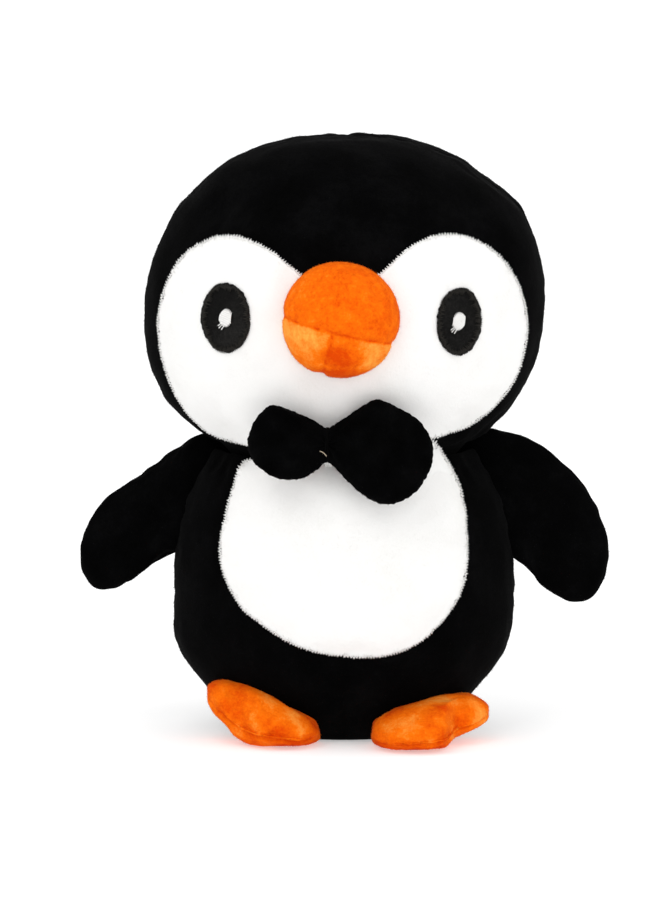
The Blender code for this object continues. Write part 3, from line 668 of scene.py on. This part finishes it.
def head_skin():
    """The head, with the ball that it turns on, as one closed skin."""
    wall = [(h, *head_size(h)) for h in np.linspace(HEAD_RIM + 0.6, HEAD_MIDDLE + HEAD_ABOVE, 260)]
    under = ball_rings(BALL_RADIUS - BALL_GAP, np.linspace(0, wall[0][1] - 1.2, 30))
    directions, faces = cube_ball(44)
    points = lathe(directions, stack(under + wall, BODY_CORNERS))
    hidden = ~off_ball(points)
    points = plump(points, faces, seam_pins(head_seams(points), hidden), *PRESSURE["body"])
    points, faces = refine(points, faces)
    free = smoothstep(HEAD_RIM - 2, HEAD_RIM + 8, points[:, 2])
    moved = stuffed(points, faces, head_seams(points), *SEWING["body"], shift=4.0)
    points = points + (moved - points) * free[:, None]
    end_push = corner(points, SEAM_END, SEAM_END_REACH, SEAM_END_PUSH)
    points[:, 0] += free * (head_lean(points[:, 2]) + end_push)
    nap, panels = 0.5 + 0.5 * field(points, 18, 6), ("front", "back_left", "back_right")
    skin("head_skin", points, faces, BLACK, "head", "head", panels, nap, HEAD_YAW)
    return points, faces


def off_ball(points):
    """True for the head's points outside the torso's bowl."""
    return (to_ball_centre(points) >= BALL_RADIUS + 0.3) | (points[:, 2] >= HEAD_RIM + 2)


# ---- patches on the front


def tree_of(points, faces):
    """A skin, ready to be searched."""
    return BVHTree.FromPolygons(points.tolist(), faces)


def on_front(tree, plan, lift):
    """Points on a skin's front, straight behind (across, height), lifted off it."""
    lifts = np.broadcast_to(lift, len(plan))
    found = []
    for (x, z), up in zip(plan, lifts):
        hit, normal, _, _ = tree.ray_cast(Vector((x, RAY_START, z)), Vector((0, 1, 0)))
        if hit is None or hit.y > FRONT_LIMIT:
            hit, normal, _, _ = tree.find_nearest(Vector((x, NEAR_FRONT, z)))
        found.append(hit + normal * up)
    return np.array(found)


def bridged_neck(torso, head):
    """Both skins in one tree, with the neck's groove spanned where the belly patch crosses it."""
    across, spans = np.linspace(*NECK_SPAN, 25), []
    for shape, height in ((torso, NECK_SPAN_LOW), (head, NECK_SPAN_HIGH)):
        spans.append(on_front(tree_of(*shape), [(x, height) for x in across], 0.2))
    count = len(across)
    strip = [[k, k + 1, count + k + 1, count + k] for k in range(count - 1)]
    return tree_of(*joined([torso, head, (np.vstack(spans), strip)]))


def patch(name, tree, outline, lift, material, body, replaced, jag=0.3, turn=0.0, rows=22,
          spacing=0.6, shift=0.0):
    """A sewn-down patch: a soft rounded edge with frayed teeth, and a puffed middle."""
    edge_width, stitch_in, stitch_pull = 1.6, 2.2, 0.35
    loop = even_loop(spline_loop(outline, 12), spacing)
    teeth = 2.2 * jag * flat_field(loop, 1.1, shift) + 1.6 * jag * flat_field(loop, 3.0, shift + 2)
    edge = loop + outward(loop) * teeth[:, None]
    middle = loop.mean(0)
    reach = np.linalg.norm(loop - middle, axis=1).mean()
    inset = np.concatenate([[0.0, 0.25, 0.8, 1.8, 3.2], np.linspace(5.0, reach * 0.97, rows)])
    height = lift * bulge(1 - np.clip(inset / edge_width, 0, 1), 2.2)
    height[0] = -0.5
    height -= stitch_pull * lift * ridge(inset - stitch_in, 0.9)
    points = []
    for depth, up in zip(inset, height):
        ring = edge if depth < 2 else loop
        row = middle + (ring - middle) * (1 - depth / reach)
        lifts = up + 0.25 * flat_field(row, 6, shift + 4)
        points.append(on_front(tree, row, lifts if depth > 0 else up))
    points = np.vstack(points + [on_front(tree, [middle], height[-1])])
    faces = facing_front(points, ring_faces(len(inset), len(loop)))
    piece = make(name, points, faces, material, body, replaced, turn)
    paint(piece, 0.6 + 0.35 * field(points, 22, shift + 7))
    return (points, faces), loop


def facing_front(points, faces):
    """The faces turned so that they look towards the front."""
    first = faces[len(faces) // 2]
    a, b, c = (points[first[k]] for k in (0, 1, 2))
    towards = np.cross(b - a, c - a)[1]
    return faces if towards < 0 else [face[::-1] for face in faces]


def zigzag(name, tree, loop, material, body, replaced, turn=0.0, *, inside, outside, pitch, radius,
           lift, uneven=0.4):
    """A machine zig-zag along an outline, each stitch pulled down at its two ends."""
    loop = even_loop(loop, pitch / 2)
    loop = loop if len(loop) % 2 == 0 else loop[:-1]
    rng = np.random.default_rng(SEED)
    reach = np.where(np.arange(len(loop)) % 2 == 0, outside, -inside)
    reach = reach * (1 + uneven * rng.uniform(-1, 1, len(loop)))
    ends = loop + outward(loop) * reach[:, None]
    middles = (ends + np.roll(ends, -1, 0)) / 2
    plan = np.stack([ends, middles], 1).reshape(-1, 2)
    lifts = np.tile([lift - 0.35, lift + 0.1], len(loop))
    points, faces = tube(on_front(tree, plan, lifts), radius, closed=True)
    make(name, points, faces, material, body, replaced, turn)


# ---- limbs


def pillow(loop, middle, rows):
    """Plan points, shares of the way out and side (1, -1, or 0 on the seam) of a sewn pillow."""
    shares = np.sin(np.linspace(math.pi / 2, 0, rows + 1))
    count, plan, share, side = len(loop), [loop], [np.ones(len(loop))], [np.zeros(len(loop))]
    faces = []
    for sign in (1, -1):
        before = 0
        for value in shares[1:]:
            ring = middle + (loop - middle) * value if value > 1e-6 else np.array([middle])
            start = sum(map(len, plan))
            plan.append(ring)
            share.append(np.full(len(ring), value))
            side.append(np.full(len(ring), sign))
            for i in range(count):
                k = (i + 1) % count
                inner = [start + k, start + i] if len(ring) > 1 else [start]
                quad = [before + i, before + k] + inner
                faces.append(quad if sign > 0 else quad[::-1])
            before = start
    return np.vstack(plan), np.concatenate(share), np.concatenate(side), faces


def flipper(side, sign):
    """A flat pillow in the plane of the shoulders, held where it goes into the shoulder seam."""
    name = f"flipper_{side}"
    loop = even_loop(spline_loop(FLIPPER_OUTLINE[side], 10), 2.2)
    loop = loop + outward(loop) * FLIPPER_EASE[side]
    middle = np.array(FLIPPER_MIDDLE)
    plan, share, face, faces = pillow(loop, middle, 14)
    depth = face * FLIPPER_HALF_THICK * bulge(share, 2.2)
    points = np.stack([sign * plan[:, 0], depth, plan[:, 1]], 1)
    if sign > 0:
        faces = [f[::-1] for f in faces]
    root = smoothstep(FLIPPER_FREE, FLIPPER_FIXED, plan[:, 0])
    points = plump(points, faces, np.maximum(face == 0, root), *PRESSURE["flipper"])
    seam = (1 - share) * np.linalg.norm(loop - middle, axis=1).mean()
    puckered = stuffed(points, faces, [seam], *SEWING["flipper"], shift=20 + sign)
    points = points + (puckered - points) * (1 - root)[:, None]
    points, faces = refine(points, faces)
    nap = 0.45 + 0.5 * field(points, 14, 8)
    skin(f"{name}_skin", points, faces, BLACK, name, name, ("front", "back"), nap)
    black_pile(name, (points, faces), lambda roots: np.abs(roots[:, 0]) > FLIPPER_PILE_FROM)


def soft_curve(stations, knots, values, soften):
    """Values between knots, with the corners rounded over a length."""
    steps = np.linspace(-1, 1, 9)
    weights = np.exp(-2 * steps**2)
    shifted = [np.interp(stations + soften * step, knots, values) for step in steps]
    return np.average(shifted, axis=0, weights=weights)


def foot(side, sign):
    """A pad with its outer toe parted by a notch and bent up off the floor."""
    name = f"foot_{side}"
    knots, middles, halves, reaches = np.array(FOOT_SECTIONS[side], float).T
    directions, faces = cube_ball(20)
    faces = faces if sign > 0 else [f[::-1] for f in faces]
    across = directions[:, 0]
    out = (knots[0] + knots[-1]) / 2 + (knots[-1] - knots[0]) / 2 * across
    ring = directions[:, 1:] / np.maximum(np.linalg.norm(directions[:, 1:], axis=1, keepdims=True), 1e-9)
    square = np.sum(np.abs(ring) ** FOOT_SQUARE, axis=1) ** (-1 / FOOT_SQUARE)
    forward_share, up_share = -ring[:, 0] * square, ring[:, 1] * square
    end = np.where(across < 0, bulge(across, FOOT_INNER_END), bulge(across, FOOT_OUTER_END))
    reach = soft_curve(out, knots, reaches, 1.5) * (0.45 + 0.55 * end)
    back = 0.25 * (1 - end) * reach - FOOT_IN_BODY
    thick = soft_curve(out, knots, halves, 3.0) * end
    forward = (reach + back) / 2 + forward_share * end**0.5 * (reach - back) / 2
    sag = 0.22 * thick * smoothstep(0.45, 1.0, forward_share) * (up_share > -0.3)
    up = soft_curve(out, knots, middles, 3.0) + up_share * thick - sag
    points = np.stack([sign * out, -forward, up - ANKLE[side].z], 1)
    angle = np.degrees(np.arctan2(up_share, forward_share))
    seam = np.abs(angle + SOLE_SEAM_ANGLE) * MM_PER_DEGREE
    pins = np.maximum(np.maximum(ridge(seam, 1.3), up < 0.8), smoothstep(4, 0, forward))
    points = plump(points, faces, pins, *PRESSURE["foot"])
    gap = np.abs(out - TOE_GAP[side]) + 0.35 * np.clip(reach - forward, 0, None)
    points = stuffed(points, faces, [seam, gap * 1.3], *SEWING["foot"], shift=30 + sign)
    points, faces, seam = refine_with(points, faces, seam)
    points = points + np.array(ANKLE[side])
    points[:, 2] = np.maximum(points[:, 2], 0.0)
    # Painted shade: the nap darker towards the floor (low) and along the sole seam.
    low = smoothstep(6, 0, points[:, 2])
    nap = 0.4 + 0.5 * field(points, 9, 40 + sign) - 0.3 * low - 0.25 * ridge(seam, 1.2)
    skin(f"{name}_skin", points, faces, ORANGE, name, name, ("top", "sole"), nap)
    orange_pile(name, (points, faces), nap, name, lambda roots: roots[:, 2] > 0.9)


# ---- beak and eyes


def beak():
    """A ball of three panels: one above an aslant seam, and two below it."""
    directions, faces = cube_ball(22)
    points = directions * (np.array(BEAK_RADII) - 0.5)
    behind = smoothstep(10, 16, points[:, 1])
    pins = np.maximum(ridge(np.minimum(*beak_distances(*beak_seams(points))), 1.6), behind)
    points = plump(points, faces, pins, *PRESSURE["beak"])
    points, faces = refine(points, faces)
    above, aside = beak_seams(points)
    points = stuffed(points, faces, beak_distances(above, aside), *SEWING["beak"], shift=50)
    nap = beak_nap_and_painted_light(points, above, aside)
    points = points + np.array(BEAK)
    panels = ("upper", "lower_left", "lower_right")
    skin("beak_skin", points, faces, ORANGE, "head", "beak", panels, nap, HEAD_YAW)
    orange_pile("beak", (points, faces), nap, "head", lambda roots: roots[:, 1] < BEAK.y + 8, HEAD_YAW)


def beak_seams(points):
    """Heights above the aslant seam, and how far to the right of the lower seam's plane."""
    tilt = math.radians(BEAK_SEAM_TILT)
    above = points[:, 2] * math.cos(tilt) + points[:, 0] * math.sin(tilt) - BEAK_SEAM_HEIGHT
    return above, points[:, 0] * math.cos(tilt) - points[:, 2] * math.sin(tilt) - BEAK_SPLIT


def beak_distances(above, aside):
    """Distances from the aslant seam and from the one that runs down from it."""
    return [np.abs(above), np.where(above < 0, np.abs(aside), NO_SEAM)]


def beak_nap_and_painted_light(points, above, aside):
    """The upper panel's pile is smooth and dark, the lower ones' brushed light and ruffled; with painted
    light and shade.
    """
    under = smoothstep(0.5, -0.5, above)
    streaks = field(points * [1.0, 0.2, 0.25], 1.3, 54)
    patchy = field(points, 7, 52)
    # Painted highlight: a light band just under the aslant seam, towards the left.
    painted_highlight_band = 0.34 * ridge(above + 4.5, 4.5) * smoothstep(6, -10, aside)
    ruffled = 0.7 * np.exp(-(((aside - 5) / 7) ** 2) - ((above + 9) / 6.5) ** 2)
    # Painted shade: darker along the bottom of the beak.
    painted_underside_shade = 0.42 * smoothstep(-17.5, -21, points[:, 2])
    # Painted rim light: lighter along the right edge.
    painted_rim_light = 0.22 * smoothstep(11, 18, aside)
    lower = 0.58 + painted_highlight_band - ruffled - painted_underside_shade + painted_rim_light + 0.16 * patchy + 0.14 * streaks
    upper = 0.33 + 0.1 * patchy + 0.08 * streaks + 0.08 * smoothstep(0, -18, aside)
    stitched = np.where(under > 0.5, np.minimum(np.abs(above), np.abs(aside)), np.abs(above))
    # Painted shade in the seams: a dark dashed line along them.
    painted_seam_shade = 0.55 * ridge(stitched, 0.6) * (0.6 + 0.8 * field(points, 2.0, 57))
    return lower * under + upper * (1 - under) - painted_seam_shade


def oval(across, height, half_wide, half_tall, shift):
    """Points of an oval cut by hand, a little uneven."""
    count, uneven = 16, 0.016
    angles = np.arange(count) * math.tau / count
    wobble = 1 + uneven * np.sin(2 * angles + shift) + 0.6 * uneven * np.sin(5 * angles + 2 * shift)
    return np.stack([across + half_wide * np.cos(angles) * wobble,
                     height + half_tall * np.sin(angles) * wobble], 1)


def eye(side, sign, face):
    """A felt oval on the face patch, with its stitched rim, frayed fibres and highlight."""
    outline = oval(EYES_ASIDE + sign * EYE_OUT, EYE_HEIGHT[side], EYE_HALF_WIDE[side] - EYE_FRAY,
                   EYE_HALF_TALL - EYE_FRAY, sign)
    felt, loop = patch(f"eye_{side}_felt", tree_of(*face), outline, EYE_LIFT, EYE_FELT, "head",
                       [f"eye_{side}"], jag=0.24, turn=HEAD_YAW, rows=10,
                       spacing=0.5, shift=60 + sign)
    both = tree_of(*joined([felt, face]))
    zigzag(f"eye_{side}_zigzag", both, loop, EYE_THREAD, "head", [f"eye_{side}_stitching"],
           HEAD_YAW, **EYE_STITCH)
    highlight(side, sign, both)
    pile(f"eye_{side}_fibres", felt, EYE_FIBRE, "head", turn=HEAD_YAW, **EYE_PILE)


def highlight(side, sign, tree):
    """Satin stitches side by side in white thread, with loose ends below."""
    centre = np.array([EYES_ASIDE + sign * (EYE_OUT - 0.3), EYE_HEIGHT[side] + 0.3])
    half_wide, half_tall, radius = HIGHLIGHT_HALF_WIDE, HIGHLIGHT_HALF_TALL, SATIN_RADIUS
    parts = []
    for step in np.arange(-half_wide, half_wide + 0.01, 1.6 * radius):
        reach = half_tall * math.sqrt(max(0.05, 1 - (step / (half_wide + 0.3)) ** 2))
        rise = np.linspace(-1, 1, 11)
        plan = centre + np.stack([step + 0.25 * rise, reach * rise], 1)
        lifts = 0.15 + 0.75 * bulge(rise, 2.5)
        thick = radius * (0.5 + 0.5 * bulge(rise, 4))
        parts.append(tube(on_front(tree, plan, lifts), thick, 6))
    for start, end in (((-1.4, -2.6), (-2.9, -4.3)), ((-0.6, -3.0), (-1.9, -4.9)),
                       ((-1.8, -2.2), (-3.3, -3.4))):
        t = np.linspace(0, 1, 6)[:, None]
        plan = centre + np.array(start) * (1 - t) + np.array(end) * t
        parts.append(tube(on_front(tree, plan, 0.5), 0.2))
    make(f"eye_{side}_highlight", *joined(parts), WHITE_THREAD, "head", [f"eye_{side}_glint"],
         HEAD_YAW)


# ---- bow tie


def bow_layer(name, side, puff, loop, shift):
    """One cut layer, drawn into folds at the knot and standing off the other in its lobes."""
    thin, cloth_thick, folds_round, creases_round, rows, points = 1.5, 0.9, 9, 17, 26, []
    for share in np.linspace(1, 0, rows + 1)[:-1]:
        plan = loop * share
        x, z = plan.T
        lobe = smoothstep(1.0, 15, np.abs(x))
        angle = np.arctan2(z, np.abs(x))
        folds = np.cos(angle * folds_round + shift + 0.8 * np.sign(x)) * np.exp(-np.abs(x) / 11)
        folds = folds * (0.5 + 1.4 * lobe)
        folds = folds + 0.5 * np.cos(angle * creases_round + 2 * shift) * np.exp(-np.abs(x) / 7) * lobe
        body = (thin + puff * lobe) * bulge(share, 2.4)
        calm = smoothstep(0.0, 0.12, 1 - share)
        wave = 0.5 * flat_field(plan, 11, shift)
        depth = body + calm * folds + wave * (0.4 + 0.6 * lobe)
        points.append(np.stack([x, side * (0.35 + np.maximum(depth, 0.0)), z], 1))
    outer = np.vstack(points + [[[0, side * 1.4, 0]]])
    inner = outer.copy()
    inner[:, 1] -= side * cloth_thick
    inner[:, 1] = np.where(side * inner[:, 1] < 0.05, side * 0.05, inner[:, 1])
    count, total = len(loop), len(outer)
    faces = ring_faces(rows, count)
    faces += [[i + total for i in f][::-1] for f in faces]
    faces += [[i, i + total, (i + 1) % count + total, (i + 1) % count] for i in range(count)]
    points = np.vstack([outer, inner]) + np.array(BOW)
    if side > 0:
        faces = [f[::-1] for f in faces]
    piece = make(f"bow_tie_{name}_cloth", points, faces, BLACK, "bow_tie", [f"bow_tie_{name}_layer"])
    paint(piece, 0.4 + 0.5 * field(points, 7, shift))
    return points, faces


def bow_tie_tacking(tree):
    """Strands from the knot to the torso's rim, just under the chin."""
    strands, t = [], np.linspace(0, 1, 12)[:, None]
    for aside in (-1.2, -0.4, 0.4, 1.2):
        end = on_front(tree, [[BOW.x + aside, TACK_HEIGHT]], -1.0)[0]
        start = np.array(BOW) + [0.6 * aside, 0.5, 0.0]
        sag = np.array([0.3 * aside, 0.0, 0.5]) * np.sin(math.pi * t)
        strands.append(tube(start * (1 - t) + end * t + sag, 0.4, 6))
    make("bow_tie_tacking", *joined(strands), WHITE_THREAD, "torso")


def bow_tie_wrap():
    """Three turns of black thread round the knot, and the loose end of a tan one."""
    turns = []
    for k in range(3):
        angle = np.linspace(0, math.tau, 48, endpoint=False)
        slant = 0.7 * (k - 1) + 0.5 * np.sin(angle + k)
        ring = np.stack([slant, 2.0 * np.cos(angle), 7.0 * np.sin(angle) - 0.4], 1)
        turns.append(tube(ring + np.array(BOW), 0.3, 6, closed=True))
    make("bow_tie_wrap", *joined(turns), BLACK_THREAD, "bow_tie", ["bow_tie_gather_thread"])
    t = np.linspace(0, 1, 14)[:, None]
    end = np.array([-2.9, -4.2, -2.4]) * (1 - t) + np.array([-0.2, -4.6, -4.4]) * t
    end = end + np.array([0.0, -0.5, 0.5]) * np.sin(math.pi * t)
    make("bow_tie_loose_thread", *tube(end + np.array(BOW), 0.2), TAN_THREAD, "bow_tie")


def bow_tie(torso_tree):
    """Two layers of plush with ragged edges, gathered by thread and tacked to the neck."""
    loop = even_loop(spline_loop(BOW_OUTLINE, 10), 0.8) - [0, 0.9]
    loop = loop + outward(loop) * (0.5 * flat_field(loop, 1.3, 70))[:, None]
    layers = (("front", bow_layer("front", -1, 3.4, loop, 1.0)),
              ("back", bow_layer("back", 1, 4.8, loop * 0.985, 4.0)))
    for name, layer in layers:
        pile(f"bow_tie_{name}_fibres", layer, BLACK_FIBRE, "bow_tie", **BOW_PILE)
    bow_tie_wrap()
    bow_tie_tacking(torso_tree)


# ---- pile


def pile(name, shape, material, body, keep=None, turn=0.0, *, density, length, width, lean):
    """Fibres that stand off a skin and lean down with the nap, each a closed spike."""
    points, faces = shape
    rng = np.random.default_rng(SEED)
    normals = normals_of(points, faces)
    corners, areas = triangles_of(points, faces)
    pick = np.repeat(np.arange(len(corners)), rng.poisson(areas * density))
    u, v = rng.random(len(pick)), rng.random(len(pick))
    fold = u + v > 1
    u[fold], v[fold] = 1 - u[fold], 1 - v[fold]
    weights = (1 - u - v, u, v)

    def blended(values):
        a, b, c = (w[:, None] * values[corners[pick, k]] for k, w in enumerate(weights))
        return a + b + c

    root, up = blended(points), unit(blended(normals))
    if keep is not None:
        chosen = keep(root)
        root, up = root[chosen], up[chosen]
    count = len(root)
    along = rng.normal(0, 0.45, (count, 3)) - [0, 0, 1]
    along = along - up * (along * up).sum(1, keepdims=True)
    direction = unit(up + lean * unit(along) + rng.normal(0, 0.15, (count, 3)))
    side = unit(np.cross(direction, up) + rng.normal(0, 0.3, (count, 3)))
    tall = length * rng.uniform(0.55, 1.15, count)[:, None]
    wide = width * rng.uniform(0.7, 1.3, count)[:, None]
    across = unit(np.cross(direction, side))
    sunk = root - up * ROOT_DEPTH
    foot_points = [sunk + wide / 2 * (side * math.cos(t) + across * math.sin(t)) for t in (0, 2.1, 4.2)]
    spikes = np.stack(foot_points + [root + direction * tall], 1).reshape(-1, 3)
    spike_faces = np.array([[0, 1, 3], [1, 2, 3], [2, 0, 3], [0, 2, 1]])
    faces = (np.arange(count)[:, None, None] * 4 + spike_faces).reshape(-1, 3)
    piece = make(name, spikes, faces, material, body, turn=turn)
    shading = np.stack([up, up, up, unit(up + 0.35 * direction)], 1).reshape(-1, 3)
    piece.data.normals_split_custom_set_from_vertices(turned(shading, turn).tolist())


def black_pile(body, shape, keep, turn=0.0):
    """Black fibres on a body's skin."""
    pile(f"{body}_pile", shape, BLACK_FIBRE, body, keep, turn, **BLACK_PILE)


def white_pile(name, shape, body, turn=0.0):
    """Short white fibres on a patch."""
    pile(name, shape, WHITE_FIBRE, body, turn=turn, **WHITE_PILE)


def orange_pile(name, shape, nap, body, keep, turn=0.0):
    """Three shades of fibre, each where the nap of the skin is as light, painted light and shade included."""
    tree = KDTree(len(shape[0]))
    for index, point in enumerate(shape[0]):
        tree.insert(point, index)
    tree.balance()
    for shade, low, high, material in ORANGE_FIBRES:
        def chosen(roots, low=low, high=high):
            found = np.array([nap[tree.find(root)[1]] for root in roots])
            found = found + 0.3 * field(roots, 0.8, 3)
            return (found >= low) & (found < high) & keep(roots)

        pile(f"{name}_{shade}_pile", shape, material, body, chosen, turn, **ORANGE_PILE)


def under_belly_corner(roots):
    """Roots near the neck that the belly patch's upper right corner covers."""
    (left, right), (bottom, top) = BELLY_CORNER
    x, y, z = roots.T
    return (y < 0) & (x > left) & (x < right) & (z > bottom) & (z < top)


def shown_on_torso(roots):
    """Roots off the base, out of the bowl and clear of the belly patch's corner."""
    in_bowl = to_ball_centre(roots) < BALL_RADIUS + 2
    return ~in_bowl & (roots[:, 2] > 1.0) & ~under_belly_corner(roots)


def shown_on_head(roots):
    """Roots off the ball and clear of the belly patch's corner."""
    return off_ball(roots) & ~under_belly_corner(roots)


# ---- stage


def studio():
    """A pale floor, a white world and two soft lights."""
    reach = 8.0
    corners = [(-reach, -reach, 0), (reach, -reach, 0), (reach, reach, 0), (-reach, reach, 0)]
    floor = bpy.data.meshes.new("studio_floor")
    floor.from_pydata(corners, [], [(0, 1, 2, 3)])
    paper, _, shader = principled("studio_paper", 1.0, 0.0)
    shader.inputs["Base Color"].default_value = (0.72, 0.72, 0.72, 1)
    shader.inputs["Emission Color"].default_value = (1, 1, 1, 1)
    shader.inputs["Emission Strength"].default_value = 0.4
    floor.materials.append(paper)
    in_scene("studio_floor", floor)

    world = bpy.data.worlds.new("studio_white")
    world.use_nodes = True
    background = world.node_tree.nodes["Background"]
    background.inputs["Color"].default_value = (1, 1, 1, 1)
    background.inputs["Strength"].default_value = 1.04
    bpy.context.scene.world = world

    for name, place, size, power in (("key_light", (-0.6, -1.1, 1.6), 0.9, 5.8),
                                     ("fill_light", (1.0, -1.2, 0.8), 1.0, 2.4)):
        light = bpy.data.lights.new(name, "AREA")
        light.size, light.energy = size, power
        lamp = in_scene(name, light)
        lamp.location = place
        aim = Vector((0, 0, 0.12)) - Vector(place)
        lamp.rotation_euler = aim.to_track_quat("-Z", "Y").to_euler()


def camera():
    """A long lens from straight in front, a little above."""
    elevation, distance, seen_tall = math.radians(7.0), 2.45, 0.3753
    target = Vector((-0.0058, 0.0, 0.1173))
    data = bpy.data.cameras.new("camera")
    data.sensor_width = 36.0
    data.lens = data.sensor_width * distance / seen_tall
    made = in_scene("camera", data)
    made.location = target + distance * Vector((0, -math.cos(elevation), math.sin(elevation)))
    made.rotation_euler = (math.pi / 2 - elevation, 0, 0)
    bpy.context.scene.camera = made
    bpy.context.scene.view_settings.view_transform = "Standard"


# ---- the toy


camera()
studio()
torso, head = torso_skin(), head_skin()
torso_tree, head_tree, front_tree = tree_of(*torso), tree_of(*head), bridged_neck(torso, head)
face, face_loop = patch("face_patch_plush", head_tree, FACE_OUTLINE, PATCH_LIFT, WHITE, "head",
                        ["face_patch"], turn=HEAD_YAW, shift=2.0)
belly, belly_loop = patch("belly_patch_plush", front_tree, BELLY_OUTLINE, PATCH_LIFT, WHITE, "torso",
                          ["belly_patch"], shift=11.0)
zigzag("face_patch_zigzag", head_tree, face_loop, WHITE_THREAD, "head", ["face_patch_stitching"],
       HEAD_YAW, **PATCH_STITCH)
zigzag("belly_patch_zigzag", front_tree, belly_loop, WHITE_THREAD, "torso",
       ["belly_patch_stitching"], **PATCH_STITCH)
black_pile("torso", torso, shown_on_torso)
black_pile("head", head, shown_on_head, HEAD_YAW)
white_pile("face_patch_fibres", face, "head", HEAD_YAW)
white_pile("belly_patch_fibres", belly, "torso")
beak()
for side, sign in (("left", -1), ("right", 1)):
    eye(side, sign, face)
    flipper(side, sign)
    foot(side, sign)
bow_tie(torso_tree)
frame["nodes"]["neck_stuffing"].data.materials[0] = FIBRE
